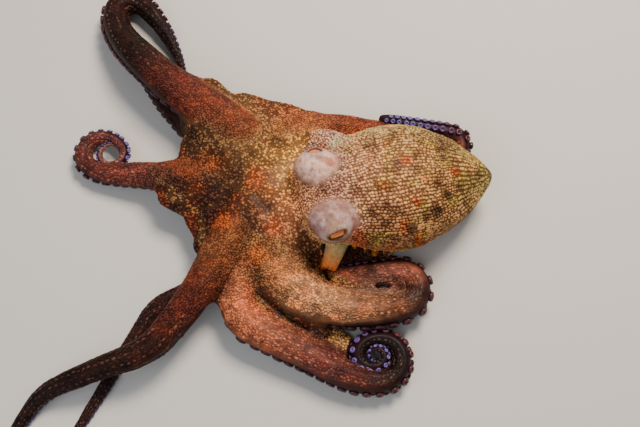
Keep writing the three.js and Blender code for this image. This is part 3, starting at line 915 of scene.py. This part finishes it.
def newMaterial(name):
    material = bpy.data.materials.new(name)
    material.use_nodes = True
    tree = material.node_tree
    return material, tree, tree.nodes["Principled BSDF"]


def mixColor(tree, factor, a, b):
    node = addNode(tree, "ShaderNodeMix", data_type="RGBA")
    inputs = {socket.identifier: socket for socket in node.inputs}
    for name, value in (("Factor_Float", factor), ("A_Color", a), ("B_Color", b)):
        setInput(tree, inputs[name], value)
    return next(o for o in node.outputs if o.identifier == "Result_Color")


def ramp(tree, source, *stops):
    ends = dict(zip(("From Min", "From Max", "To Min", "To Max"), stops))
    return addNode(tree, "ShaderNodeMapRange", {"Value": source, **ends}).outputs["Result"]


def calc(tree, how, *values):
    return addNode(tree, "ShaderNodeMath", dict(enumerate(values)), operation=how).outputs[0]


def vectorCalc(tree, how, *values):
    return addNode(tree, "ShaderNodeVectorMath", dict(enumerate(values)), operation=how).outputs[0]


def scaled(tree, color, tone):
    return vectorCalc(tree, "MULTIPLY", color, tone)


def toned(tree, color, tone, source, *stops):
    # the colour, multiplied by the tone as far as the source goes through these stops
    return mixColor(tree, ramp(tree, source, *stops), color, scaled(tree, color, tone))


def attribute(tree, name, output="Fac"):
    return addNode(tree, "ShaderNodeAttribute", attribute_name=name).outputs[output]


def objectSpace(tree):
    return addNode(tree, "ShaderNodeTexCoord").outputs["Object"]


def noise(tree, where, scale, detail, roughness=0.5):
    return addNode(tree, "ShaderNodeTexNoise", {
        "Vector": where, "Scale": scale, "Detail": detail, "Roughness": roughness}).outputs["Fac"]


def fleshColor(tree, where):
    # the body's own colour, with fine chromatophore flecks over its markings
    color = attribute(tree, "tint", "Color")
    color = toned(tree, color, (0.42, 0.28, 0.22), noise(tree, where, 330, 3, 0.65), 0.42, 0.68, 0.0, 0.5)
    return toned(tree, color, (1.7, 1.45, 1.2), noise(tree, where, 1100, 1), 0.5, 0.72, 0.0, 0.4)


def finishSurface(tree, bsdf, p, color, height, grain):
    # what each material ends with: colour, relief, and how rough and how wet it is
    relief = addNode(tree, "ShaderNodeBump", {
        "Height": height, "Strength": p["bump"], "Distance": p["relief"]})
    rough = ramp(tree, grain, 0.3, 0.7, *p["rough"])
    for socket, value in (
        ("Base Color", color), ("Normal", relief.outputs["Normal"]), ("Roughness", rough),
        ("Specular IOR Level", p["gloss"]), ("Coat Weight", p["wet"]), ("Coat Roughness", p["wetRoughness"]),
    ):
        setInput(tree, bsdf.inputs[socket], value)


def skinMaterial(p):
    # living octopus skin: a cobble of granules parted by grooves, smooth round the eyes; between the granules
    # the skin is darkened, most along the grooves, partly its own dark colour and partly painted shade
    material, tree, bsdf = newMaterial("octopusSkin")
    where = objectSpace(tree)
    color = fleshColor(tree, where)
    cobbled = attribute(tree, "cobbled")
    cells = addNode(tree, "ShaderNodeTexVoronoi", {
        "Vector": where, "Scale": 1000 / p["granule"], "Randomness": 0.9}, feature="DISTANCE_TO_EDGE")
    # painted shade, partly the skin's own dark colour: darkest along the grooves
    groove = ramp(tree, cells.outputs["Distance"], 0.0, 0.25, 0.0, 1.0)
    dark = mixColor(tree, groove, scaled(tree, color, p["grooveTone"]), scaled(tree, color, p["floorTone"]))
    color = mixColor(tree, cobbled, color, dark)
    grain = noise(tree, where, 1500, 3)
    height = calc(tree, "ADD", calc(tree, "MULTIPLY", groove, cobbled), ramp(tree, grain, 0, 1, 0, 0.35))
    finishSurface(tree, bsdf, p, color, height, grain)
    return material


skinLook = {
    "granule": 2.7, "grooveTone": (0.3, 0.22, 0.2), "floorTone": (0.6, 0.5, 0.46), "bump": 0.7,
    "relief": 0.0005, "rough": (0.42, 0.62), "gloss": 0.1, "wet": 0.05, "wetRoughness": 0.25,
}
skinData.materials.append(skinMaterial(skinLook))

# an unwrap of the skin, which places each granule's patch of colour
unwrapForm = {
    "perSide": 790, "gap": 6, "patch": 0.003, "sleeveZ": 36.0, "sleeveReach": 46, "sleeveAt": (640, 372),
    "mostSpread": 1.15, "underSpread": 0.95, "topAt": (125, 430), "underAt": (380, 430),
}


def around(angle, faceAngle):
    # keeps the corners of one face on the same side of the cut
    return faceAngle + np.mod(angle - faceAngle + math.pi, 2 * math.pi) - math.pi


def skinUnwrap(mesh, points):
    # strips for the arms, cut along the suckers; a sleeve for mantle and head; two discs for the web
    loopTotal = readAll(mesh.polygons, "loop_total", 1, np.int32)
    loopVertex = readAll(mesh.loops, "vertex_index", 1, np.int32)
    center, normal = readAll(mesh.polygons, "center", 3) / mm, readAll(mesh.polygons, "normal", 3)
    near = placeOf(center)["share"]
    body = near["mantle"] + near["head"] + near["funnel"]
    onArm = (near["arms"] > near["web"]) & (near["arms"] > body)
    onBody = ~onArm & (body > near["web"])
    face = np.repeat(np.arange(len(center)), loopTotal)
    p, c = points[loopVertex], center[face]
    uv = np.zeros((len(p), 2))

    at = onArm[face]
    k = np.maximum(stationOf(c[at]), 0)
    off, faceOff = p[at] - allMiddle[k], c[at] - allMiddle[k]
    angle, faceAngle = (np.arctan2((v * allSide[k]).sum(1), -(v * allOral[k]).sum(1)) for v in (off, faceOff))
    bases = np.array([a["base"] for a in arms.values()])
    strips = np.concatenate([[0], np.cumsum(2 * math.pi * bases + unwrapForm["gap"])])
    uv[at, 0] = strips[allArm[k]] + math.pi * bases[allArm[k]] + around(angle, faceAngle) * allRadius[k]
    uv[at, 1] = allAlong[k] + (off * allAhead[k]).sum(1) + unwrapForm["gap"]

    # mantle and head, round the line from the neck to the tip
    start, end = (np.array([*mantleForm[key], unwrapForm["sleeveZ"]]) for key in ("neck", "tip"))
    axis = (end - start) / np.linalg.norm(end - start)
    side = np.cross([0, 0, 1], axis)
    at = onBody[face]
    off, faceOff = p[at] - start, c[at] - start
    angle, faceAngle = (np.arctan2((v * side).sum(1), v[:, 2]) for v in (off, faceOff))
    reach = np.hypot((faceOff * side).sum(1), faceOff[:, 2])
    reach = np.minimum(reach, unwrapForm["sleeveReach"])
    uv[at, 0] = unwrapForm["sleeveAt"][0] + around(angle, faceAngle) * reach
    uv[at, 1] = unwrapForm["sleeveAt"][1] + (off * axis).sum(1)

    # the web, from above and from below
    at = ~onArm[face] & ~onBody[face]
    flat = p[at][:, :2] - np.array(webForm["centre"])
    reach = np.hypot(flat[:, 0], flat[:, 1]) + 1e-6
    fall = webForm["domeHeight"] - p[at][:, 2]
    spread = np.minimum(np.hypot(reach, np.maximum(fall, 0)) / reach, unwrapForm["mostSpread"])
    above = normal[face][at][:, 2:] > -0.1
    uv[at] = flat * np.where(above, spread[:, None], unwrapForm["underSpread"])
    uv[at] += np.where(above, unwrapForm["topAt"], unwrapForm["underAt"])
    return np.clip(uv / unwrapForm["perSide"], 0.002, 0.998), center, loopTotal


coatUv, faceCenters, loopTotal = skinUnwrap(skinData, skinPoints)
setAttribute(skinData, "coatUv", "FLOAT2", coatUv, "CORNER")
faceUv = np.add.reduceat(coatUv, np.concatenate([[0], np.cumsum(loopTotal)[:-1]])) / loopTotal[:, None]
faceTree = KDTree(len(faceCenters))
for index, spot in enumerate(faceCenters.tolist()):
    faceTree.insert(spot, index)
faceTree.balance()


def uvAt(points):
    return faceUv[[faceTree.find(p)[1] for p in points.tolist()]]


# how many granules stand on each part, and which way they lie
above = np.clip((skinNormals[:, 2] + 0.55) * 3, 0, 1) * (skinPoints[:, 2] > 1)
onMantle = (share["mantle"] > 0.6) & (share["mantle"] > share["head"])
# how far along an arm the web's granules go before the arm's own begin, in mm
webReach = {"left3": 68, "left4": 76}
webEnds = np.array([webReach.get(name, 84) for name in routes])
ragged = skinPlace["along"] + 12 * noiseAt(skinPoints, 9, 90) + 5 * noiseAt(skinPoints, 3, 91)
onArm = (share["arms"] > 0.55) & ~onMantle & (ragged > webEnds[skinPlace["arm"]])
# the mantle's rows of granules end this far outside its form and inside the head
rowsEnd = {"mantle": 1.2, "head": -2.2}
onMantle &= sampleField(partFields["mantle"], skinPoints) < rowsEnd["mantle"]
onMantle &= sampleField(partFields["head"], skinPoints) > rowsEnd["head"]
onHead = ~onArm & ~onMantle & (share["head"] + share["mantle"] > np.maximum(share["web"], 0.2))
onWeb = ~onMantle & ~onArm & ~onHead
onHead = onHead * (1 - smooth) * (nearEye > smoothForm["noGranules"])
onWeb = onWeb * (1 - smooth) * (nearEye > smoothForm["noGranules"]) * (1 - bare * share["arms"])
onWeb = onWeb * above * (1 - bare)
armThick = rising(skinPlace["radius"], 6, 8)
armLeft = skinPlace["arm"] >= 4
webLeft = skinPoints[:, 1] <= -8
for where, amount in (
    ("onHead", onHead * above), ("onWebRight", onWeb * ~webLeft), ("onWebLeft", onWeb * webLeft),
    ("onArmRight", onArm * (1 - bare) * armThick * ~armLeft * above),
    ("onArmLeft", onArm * (1 - bare) * armThick * armLeft * above),
    ("onArmThin", onArm * (1 - bare) * (1 - armThick) * above),
):
    setAttribute(skinData, where, "FLOAT", amount)
outFromWeb = np.column_stack([skinPoints[:, :2] - webForm["centre"], np.zeros(len(skinPoints))])
flow = outFromWeb / (np.linalg.norm(outFromWeb, axis=1)[:, None] + 1e-6)
flow[onArm] = allAhead[skinPlace["station"][onArm]]
setAttribute(skinData, "flow", "FLOAT_VECTOR", flow)
nodesOfFlesh = [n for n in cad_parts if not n.startswith("eye_")]
joinedObject("octopusSkin", skinData, nodesOfFlesh)
report("skin")


def turnedMesh(name, profile, sides, pole):
    # a closed shape turned about Z from (radius, height) pairs, with its own flat map and a rise value
    turn = np.arange(sides) * 2 * math.pi / sides
    points = [(r * math.cos(a), r * math.sin(a), z) for r, z in profile for a in turn]
    faces = []
    for ring in range(len(profile) - 1):
        for i in range(sides):
            j = (i + 1) % sides
            faces.append((ring * sides + i, ring * sides + j, (ring + 1) * sides + j, (ring + 1) * sides + i))
    last = (len(profile) - 1) * sides
    points.append((0, 0, pole))
    faces += [(last + i, last + (i + 1) % sides, len(points) - 1) for i in range(sides)]
    faces.append(tuple(reversed(range(sides))))
    mesh = bpy.data.meshes.new(name)
    mesh.from_pydata(points, [], faces)
    steps = np.concatenate([[0], np.cumsum([math.dist(a, b) for a, b in zip(profile, profile[1:])])])
    inward = 1 - steps / (steps[-1] + profile[-1][0])
    flat = [(0.5 + 0.5 * inward[r] * math.cos(a), 0.5 + 0.5 * inward[r] * math.sin(a))
            for r in range(len(profile)) for a in turn]
    setAttribute(mesh, "localUv", "FLOAT2", [*flat, (0.5, 0.5)])
    setAttribute(mesh, "rise", "FLOAT", [p[2] for p in points])
    setAttribute(mesh, "out", "FLOAT", [math.hypot(p[0], p[1]) for p in points])
    return bpy.data.objects.new(name, smoothFaces(mesh))


def repeatTree(name, scattered):
    # Geometry Nodes: scatters a small shape over a surface, or sets it on given points, and joins the copies
    tree = bpy.data.node_groups.new(name, "GeometryNodeTree")
    sockets = {}
    for label, kind in (
        ("Surface", "Geometry"), ("Shape", "Object"), ("Where", "String"), ("Spacing", "Float"),
        ("Size", "Float"), ("Stretch", "Float"), ("Height", "Float"), ("Uneven", "Float"),
        ("Patch", "Float"), ("Seed", "Int"), ("Material", "Material"), ("Pieces", "Geometry"),
    ):
        way = "OUTPUT" if label == "Pieces" else "INPUT"
        made = tree.interface.new_socket(label, in_out=way, socket_type="NodeSocket" + kind)
        sockets[label] = made.identifier
    group = addNode(tree, "NodeGroupInput").outputs

    def node(kind, output, inputs=None, **settings):
        return addNode(tree, kind, inputs, **settings).outputs[output]

    def named(label, kind):
        return node("GeometryNodeInputNamedAttribute", "Attribute", {"Name": label}, data_type=kind)

    def stored(geometry, label, value, kind, domain):
        inputs = {"Geometry": geometry, "Name": label, "Value": value}
        return node("GeometryNodeStoreNamedAttribute", "Geometry", inputs, data_type=kind, domain=domain)

    def times(a, b):
        return calc(tree, "MULTIPLY", a, b)

    if scattered:
        closeness = calc(tree, "DIVIDE", 8.0, times(group["Spacing"], group["Spacing"]))
        scatter = addNode(tree, "GeometryNodeDistributePointsOnFaces", {
            "Mesh": group["Surface"], "Distance Min": group["Spacing"], "Density Max": closeness,
            "Density Factor": named(group["Where"], "FLOAT"), "Seed": group["Seed"],
        }, distribute_method="POISSON").outputs
        points, facing, sizeHere = scatter["Points"], scatter["Normal"], group["Size"]
    else:
        points = node("GeometryNodeMeshToPoints", "Points", {"Mesh": group["Surface"]})
        facing = named("facing", "FLOAT_VECTOR")
        sizeHere = times(named("size", "FLOAT"), group["Size"])
    chance = node("FunctionNodeRandomValue", 1, {"Seed": group["Seed"]}, data_type="FLOAT")
    points = stored(points, "tone", chance, "FLOAT", "POINT")
    turn = node("FunctionNodeAlignRotationToVector", "Rotation", {"Vector": facing}, axis="Z")
    turn = node("FunctionNodeAlignRotationToVector", "Rotation", {
        "Rotation": turn, "Vector": named("flow", "FLOAT_VECTOR")}, axis="X", pivot_axis="Z")
    offMiddle = calc(tree, "SUBTRACT", named("tone", "FLOAT"), 0.5)
    size = times(sizeHere, calc(tree, "ADD", 1.0, times(group["Uneven"], offMiddle)))
    scale = node("ShaderNodeCombineXYZ", "Vector", {
        "X": times(size, group["Stretch"]), "Y": size, "Z": times(size, group["Height"])})
    shapeGeometry = node("GeometryNodeObjectInfo", "Geometry", {"Object": group["Shape"]})
    copies = node("GeometryNodeInstanceOnPoints", "Instances", {
        "Points": points, "Instance": shapeGeometry, "Rotation": turn, "Scale": scale})
    joined = node("GeometryNodeRealizeInstances", "Geometry", {"Geometry": copies})
    # nothing goes under the floor
    kept = vectorCalc(tree, "MAXIMUM", node("GeometryNodeInputPosition", "Position"), (-9.0, -9.0, 0.0))
    joined = node("GeometryNodeSetPosition", "Geometry", {"Geometry": joined, "Position": kept})
    # each copy keeps a small patch of the skin's unwrap to itself
    patchSize = node("ShaderNodeCombineXYZ", "Vector", {"X": group["Patch"], "Y": group["Patch"]})
    patch = vectorCalc(tree, "SUBTRACT", named("localUv", "FLOAT_VECTOR"), (0.5, 0.5, 0.0))
    patch = vectorCalc(tree, "MULTIPLY", patch, patchSize)
    patch = vectorCalc(tree, "ADD", named("coatUv", "FLOAT_VECTOR"), patch)
    joined = stored(joined, "OFBake", patch, "FLOAT2", "CORNER")
    painted = node("GeometryNodeSetMaterial", "Geometry", {"Geometry": joined, "Material": group["Material"]})
    addNode(tree, "NodeGroupOutput", {"Pieces": painted})
    return tree, sockets


scatterTree = repeatTree("scatterOverSkin", True)
placedTree = repeatTree("setOnPoints", False)
onlyForPlacing = (
    "coatUv", "localUv", "flow", "facing", "size", "cobbled",
    "onWebRight", "onWebLeft", "onHead", "onArmRight", "onArmLeft", "onArmThin")


def repeated(name, surface, tree, values):
    # one piece made of many copies; what the values leave out is as here
    values = {"Size": 1.0, "Stretch": 1.0, "Height": 1.0, "Patch": unwrapForm["patch"], **values}
    group, sockets = tree
    holder = bpy.data.objects.new(name + "Source", surface.copy())
    bpy.context.scene.collection.objects.link(holder)
    step = holder.modifiers.new("copies", "NODES")
    step.node_group = group
    for label, value in values.items():
        step[sockets[label]] = value
    made = evaluatedMesh(holder)
    bpy.data.objects.remove(holder)
    made.name = name
    for extra in onlyForPlacing:
        if extra in made.attributes:
            made.attributes.remove(made.attributes[extra])
    report(f"{name}: {sum(len(p.vertices) - 2 for p in made.polygons)} triangles")
    return joinedObject(name, made, [])


def bedsMesh(name, points, facing, ahead, size, tint=None):
    # loose points that carry what the Geometry Nodes tree reads
    mesh = bpy.data.meshes.new(name)
    mesh.from_pydata((points * mm).tolist(), [], [])
    setAttribute(mesh, "facing", "FLOAT_VECTOR", facing)
    setAttribute(mesh, "flow", "FLOAT_VECTOR", ahead)
    setAttribute(mesh, "size", "FLOAT", np.asarray(size) * mm)
    setAttribute(mesh, "coatUv", "FLOAT_VECTOR", np.column_stack([uvAt(points), np.zeros(len(points))]))
    if tint is None:
        tint = markingsAndPaintedLight(points, placeOf(points))
    setAttribute(mesh, "tint", "FLOAT_COLOR", withAlpha(tint))
    return mesh


granule = turnedMesh("granule", [(1.0, -0.35), (0.84, 0.38)], 7, 0.62)


def granuleMaterial(name, p):
    # the raised grains of the skin, each a little different: darker at the foot as painted shade, and lifted
    # above the body's colour on top as painted light
    material, tree, bsdf = newMaterial(name)
    where = objectSpace(tree)
    tone, rise = attribute(tree, "tone"), attribute(tree, "rise")
    color = toned(tree, fleshColor(tree, where), p["paleTone"], tone, 0.6, 1.0, 0.0, 1.0)
    color = toned(tree, color, p["darkTone"], tone, 0.0, 0.35, 1.0, 0.0)
    top = scaled(tree, color, (p["lift"],) * 3)
    color = mixColor(tree, ramp(tree, rise, -0.05, 0.4, 0.0, 1.0), scaled(tree, color, p["shadedFootTone"]), top)
    grain = noise(tree, where, 2500, 2)
    finishSurface(tree, bsdf, p, color, grain, grain)
    return material


# lift is painted light on the grains' tops and the foot tone painted shade at their feet
granuleLook = {
    "lift": 1.45, "shadedFootTone": (0.22, 0.16, 0.14), "paleTone": (1.3, 1.2, 1.1), "darkTone": (0.62, 0.55, 0.5),
    "bump": 0.35, "relief": 0.0002, "rough": (0.42, 0.6), "gloss": 0.1, "wet": 0.05, "wetRoughness": 0.25,
}
armGranuleLook = dict(
    granuleLook, lift=1.25, shadedFootTone=(0.42, 0.32, 0.3), paleTone=(1.6, 1.5, 1.4), darkTone=(0.55, 0.5, 0.5))
grainPaint = granuleMaterial("skinGranules", granuleLook)
armGrainPaint = granuleMaterial("armGranules", armGranuleLook)
# spacing and radius in mm, length to width, height to radius, slot
webCoat = dict(spacing=1.45, size=1.02, stretch=1.06, height=0.75, slot="skin_web")
armCoat = dict(spacing=1.75, size=0.82, stretch=1.5, height=0.5, slot="skin_arm")
coats = {
    "granulesWebRight": dict(webCoat, where="onWebRight"),
    "granulesWebLeft": dict(webCoat, where="onWebLeft"),
    "granulesHead": dict(webCoat, where="onHead", spacing=1.6, size=0.98, height=0.7, slot="skin_head"),
    "granulesArmRight": dict(armCoat, where="onArmRight"),
    "granulesArmLeft": dict(armCoat, where="onArmLeft"),
    "granulesArmThin": dict(armCoat, where="onArmThin", spacing=1.4, size=0.6, height=0.45),
}
for number, (name, p) in enumerate(coats.items()):
    repeated(name, skinData, scatterTree, {
        "Shape": granule, "Where": p["where"], "Spacing": p["spacing"] * mm, "Size": p["size"] * mm,
        "Stretch": p["stretch"], "Height": p["height"], "Uneven": 0.5, "Seed": 11 + number,
        "Material": armGrainPaint if "Arm" in name else grainPaint})

# on the mantle the granules stand in rows that run from the neck to the tip and merge at both ends
mantleRows = {
    "rows": 112, "pitch": 2.4, "closest": 1.75, "jitter": 0.5, "flow": 2.2, "stray": 0.275, "size": 1.12,
    "stretch": 1.2, "height": 0.8, "girthRadius": 43, "deepest": -3.5, "clear": 0.3, "turretEdge": 1.2,
}


def mantleGranules(p):
    rng = np.random.default_rng(8)
    spots, ahead, size = [], [], []
    girth = 2 * math.pi * p["girthRadius"]
    for row in range(p["rows"]):
        phi = (row + 0.5) * 2 * math.pi / p["rows"]
        t = np.linspace(0.01, 0.995, 400)
        ball = np.column_stack([np.full(len(t), math.sin(phi)), 1 - 2 * t, np.full(len(t), math.cos(phi))])
        line = mantlePoints(mantleForm, ball)
        line[:, 2] = np.maximum(line[:, 2], 0)
        run = np.concatenate([[0], np.cumsum(np.linalg.norm(np.diff(line, axis=0), axis=1))])
        at = np.arange(rng.uniform(0, p["pitch"]), run[-1], p["pitch"])
        at = at + rng.uniform(-p["jitter"], p["jitter"], len(at))
        here = np.column_stack([np.interp(at, run, line[:, k]) for k in range(3)])
        step = np.column_stack([np.interp(at + 0.5, run, line[:, k]) for k in range(3)]) - here
        apart = girth * mantleSwell(mantleForm, np.interp(at, run, t))[1] / p["rows"]
        # where rows would crowd, two or four merge into one
        merged = np.where(apart > p["closest"], 1, np.where(apart * 2 > p["closest"], 2, 4))
        width = apart * merged
        keep = (row % merged == 0) & (width > p["closest"])
        spots.append(here[keep])
        ahead.append(step[keep])
        size.append(np.clip(width[keep] / p["pitch"], 0.7, 1.15) * p["size"])
    spots, ahead, size = np.concatenate(spots), np.concatenate(ahead), np.concatenate(size)
    # neighbouring rows wave together, and each granule strays a little
    spots += np.column_stack([noiseAt(spots, 15, 90 + k) for k in range(3)]) * p["flow"]
    spots += rng.normal(0, p["stray"], spots.shape)
    spots = ontoSkin(spots)
    out = {part: sampleField(field, spots) for part, field in partFields.items()}
    keep = (out["mantle"] < rowsEnd["mantle"]) & (out["mantle"] > p["deepest"])
    keep &= out["head"] > rowsEnd["head"]
    keep &= np.min([out[part] for part in ("web", "funnel", "arms")], 0) > p["clear"]
    keep &= turretAway(spots) + rng.uniform(-0.08, 0.08, len(spots)) > p["turretEdge"]
    keep &= spots[:, 2] > 1
    return spots[keep], ahead[keep], size[keep]


rowSpots, rowAhead, rowSize = mantleGranules(mantleRows)
rowFacing = fieldSlope(rowSpots)
leftHalf = rowFacing[:, 1] < 0
for name, half, seed in (("granulesMantleLeft", leftHalf, 21), ("granulesMantleRight", ~leftHalf, 22)):
    beds = bedsMesh(name + "Beds", rowSpots[half], rowFacing[half], rowAhead[half], rowSize[half])
    repeated(name, beds, placedTree, {
        "Shape": granule, "Stretch": mantleRows["stretch"], "Height": mantleRows["height"], "Uneven": 0.5,
        "Seed": seed, "Material": grainPaint})

# pale dots in rows along each arm, from where it leaves the web
dotForm = {
    "angles": (-84, -52, -20, 12, 44, 76), "pitch": 4.8, "size": 0.85, "stretch": 1.7, "height": 0.5,
    "from": 72, "deepest": -4, "webDepth": -1.5, "clear": 1,
}


def armDots(p):
    rng = np.random.default_rng(31)
    spots, ahead, size = [], [], []
    for route in routes.values():
        for row, degrees in enumerate(p["angles"]):
            s = p["from"] + p["pitch"] * (0.5 * (row % 2) + rng.uniform(0, 0.2))
            while s < route["along"][-1] - 3:
                k = int(s)
                angle = math.radians(degrees) + rng.uniform(-0.09, 0.09)
                out = -route["oral"][k] * math.cos(angle) + route["side"][k] * math.sin(angle)
                spots.append(route["middle"][k] + out * route["radius"][k] * armForm["skinGirth"])
                ahead.append(route["ahead"][k])
                size.append(p["size"] * min(1, 0.4 + route["radius"][k] / 16) * rng.uniform(0.7, 1.25))
                s += p["pitch"] * min(1, 0.35 + route["radius"][k] / 12) * rng.uniform(0.75, 1.25)
    spots, ahead, size = np.array(spots), np.array(ahead), np.array(size)
    buried = sampleField(wholeField, spots) < p["deepest"]
    spots = ontoSkin(spots)
    keep = ~buried & (spots[:, 2] > 1)
    for part, least in (("web", p["webDepth"]), ("mantle", p["clear"]), ("head", p["clear"])):
        keep &= sampleField(partFields[part], spots) > least
    return spots[keep], ahead[keep], size[keep]


def dotMaterial(p):
    # pale raised dots on the dark skin of the arms
    material, tree, bsdf = newMaterial("paleDots")
    mottle = noise(tree, objectSpace(tree), 1200, 2)
    tint = attribute(tree, "tint", "Color")
    dark = scaled(tree, tint, (0.35, 0.3, 0.3))
    paleness = ramp(tree, attribute(tree, "tone"), 0, 1, p["leastPale"], p["mostPale"])
    color = mixColor(tree, paleness, dark, tint)
    # painted shade: each dot darkens towards its foot
    color = mixColor(tree, ramp(tree, attribute(tree, "rise"), 0.0, 0.4, 0.0, 1.0), dark, color)
    color = toned(tree, color, (0.6, 0.45, 0.4), mottle, 0.4, 0.7, 0.0, 0.3)
    finishSurface(tree, bsdf, p, color, mottle, mottle)
    return material


dotLook = {
    "pale": "eaaa7c", "leastPale": 0.1, "mostPale": 1.0, "bump": 0.3, "relief": 0.0002, "rough": (0.3, 0.45),
    "gloss": 0.2, "wet": 0.1, "wetRoughness": 0.2,
}
dotSpots, dotAhead, dotSize = armDots(dotForm)
dotAround = markingsAndPaintedLight(dotSpots, placeOf(dotSpots))
paleness = 0.05 + 0.5 * np.clip(dotAround.mean(1) / 0.12, 0, 1)[:, None]
dotTint = dotAround * (1 - paleness) + colors([dotLook["pale"]]) * paleness
dotBeds = bedsMesh("dotBeds", dotSpots, fieldSlope(dotSpots), dotAhead, dotSize, dotTint)
repeated("paleDots", dotBeds, placedTree, {
    "Shape": granule, "Stretch": dotForm["stretch"], "Height": dotForm["height"], "Uneven": 0.2, "Seed": 33,
    "Material": dotMaterial(dotLook)})

# suckers, two rows that alternate along each arm
suckerForm = {
    "size": 0.6, "power": 0.75, "apartThick": 2.05, "apartThin": 2.5, "tilt": 31, "sink": 0.05, "from": 8,
}
suckerShape = turnedMesh("sucker", [
    (0.7, -0.8), (0.84, -0.2), (1.0, 0.14), (0.95, 0.42), (0.72, 0.58), (0.46, 0.5), (0.28, 0.24)], 10, 0.14)


def suckerPoints(p):
    place, facing, ahead, size = [], [], [], []
    squash = 1 / armForm["oralDepth"] ** 2 - 1
    for route in routes.values():
        s, side, last = p["from"], 1, route["along"][-1]
        while s < last - 1:
            k = min(int(s), len(route["along"]) - 1)
            radius = route["radius"][k]
            reach = p["size"] * radius ** p["power"] * min(1, 0.45 + s / 55)
            lean = math.radians(p["tilt"]) * side
            out = route["oral"][k] * math.cos(lean) + route["side"][k] * math.sin(lean)
            depth = radius * armForm["skinGirth"] / math.sqrt(1 + math.cos(lean) ** 2 * squash)
            place.append(route["middle"][k] + out * (depth - p["sink"] * reach))
            facing.append(out)
            ahead.append(route["ahead"][k])
            size.append(reach)
            s += max(reach * np.interp(radius, (5, 12), (p["apartThin"], p["apartThick"])) * 0.5, 0.5)
            side = -side
    return (np.array(v) for v in (place, facing, ahead, size))


def suckerMaterial(p):
    # suckers: lilac rims and darker cups on short dark stalks, both darkened from the rim's tint, partly as
    # painted shade under the rim and in the hollow
    material, tree, bsdf = newMaterial("suckers")
    rise, out, tone = attribute(tree, "rise"), attribute(tree, "out"), attribute(tree, "tone")
    rimTint = attribute(tree, "tint", "Color")
    mottle = noise(tree, objectSpace(tree), 900, 2)
    rim = toned(tree, rimTint, p["rimOther"], tone, 0, 1, 0, 0.4)
    # painted shade: the stalk under the rim and the cup's hollow are darker than the rim
    color = mixColor(tree, ramp(tree, rise, 0.1, 0.42, 0, 1), scaled(tree, rimTint, p["stalkTone"]), rim)
    color = mixColor(tree, ramp(tree, out, 0.3, 0.55, 1, 0), color, scaled(tree, rimTint, p["cupTone"]))
    color = toned(tree, color, p["cupTone"], mottle, 0.42, 0.7, 0, 0.5)
    finishSurface(tree, bsdf, p, color, mottle, mottle)
    return material


suckerLook = {
    "rimThick": "54282a", "rimThin": "7464a4", "rimOther": (0.6, 0.5, 0.7), "cupTone": (0.72, 0.66, 0.75),
    "stalkTone": (0.34, 0.24, 0.26), "bump": 0.3, "relief": 0.0003, "rough": (0.3, 0.45), "gloss": 0.25,
    "wet": 0.15, "wetRoughness": 0.2,
}
place, facing, ahead, size = suckerPoints(suckerForm)
thin = rising(size, 3.0, 2.2)[:, None]
rimTint = colors([suckerLook["rimThick"]]) * (1 - thin) + colors([suckerLook["rimThin"]]) * thin
repeated("suckers", bedsMesh("suckerBeds", place, facing, ahead, size, rimTint), placedTree, {
    "Shape": suckerShape, "Uneven": 0.12, "Seed": 5, "Material": suckerMaterial(suckerLook)})

# eyes
eyeLook = {
    "iris": "fc8a2a", "irisDeep": "d8641a", "ring": "f8a458", "pupil": "0c0808", "rind": "3a2018",
    "slitWide": 0.46, "slitTall": 0.11, "bump": 0.15, "relief": 0.0002, "rough": (0.12, 0.22),
    "gloss": 0.5, "wet": 0.8, "wetRoughness": 0.06,
}


def eyeMesh(p):
    centre, look = eyeCentre(p), direction(p["aim"], p["rise"] - p["pupilDrop"])
    across, tall = eyeAxes(look, p["tilt"] * 0.5)
    points, quads, caps = ballGrid(48, 32)
    # the ball's pole looks out; it bulges a little over the pupil
    local = points[:, [0, 2, 1]]
    bulge = 1 + 0.03 * np.clip((local[:, 2] - 0.7) / 0.3, 0, 1)
    world = across * local[:, :1] + tall * local[:, 1:2] + look * local[:, 2:]
    world = centre + world * (eyeForm["radius"] - 0.1) * bulge[:, None]
    mesh = bpy.data.meshes.new("eye")
    mesh.from_pydata((world * mm).tolist(), [], [tuple(f) for f in quads.tolist() + caps.tolist()])
    setAttribute(mesh, "look", "FLOAT_VECTOR", local)
    return smoothFaces(outward(mesh))


def eyeMaterial(p):
    # eye: a coppery iris with fine flecks round a level slit, under a wet surface
    material, tree, bsdf = newMaterial("eye")
    look = attribute(tree, "look", "Vector")
    parts = addNode(tree, "ShaderNodeSeparateXYZ", {"Vector": look}).outputs
    flecks = noise(tree, look, 22, 3, 0.7)

    def folded(source, width, power):
        part = calc(tree, "ABSOLUTE", calc(tree, "DIVIDE", source, width))
        return calc(tree, "POWER", part, power)

    away = calc(tree, "ADD", folded(parts["X"], p["slitWide"], 3.0), folded(parts["Y"], p["slitTall"], 2.0))
    iris = mixColor(tree, ramp(tree, flecks, 0.35, 0.65, 0, 1), hexColor(p["irisDeep"]), hexColor(p["iris"]))
    iris = mixColor(tree, ramp(tree, parts["Z"], 0.1, 0.35, 1, 0), iris, hexColor(p["rind"]))
    color = mixColor(tree, ramp(tree, away, 1.0, 2.2, 1, 0), iris, hexColor(p["ring"]))
    color = mixColor(tree, ramp(tree, away, 0.85, 1.1, 1, 0), color, hexColor(p["pupil"]))
    finishSurface(tree, bsdf, p, color, flecks, flecks)
    return material


eyePaint = eyeMaterial(eyeLook)
for side in bothSides:
    ball = eyeMesh(eyeForm[side])
    ball.materials.append(eyePaint)
    joinedObject(side + "Eye", ball, ["eye_" + side])
report("eyes")
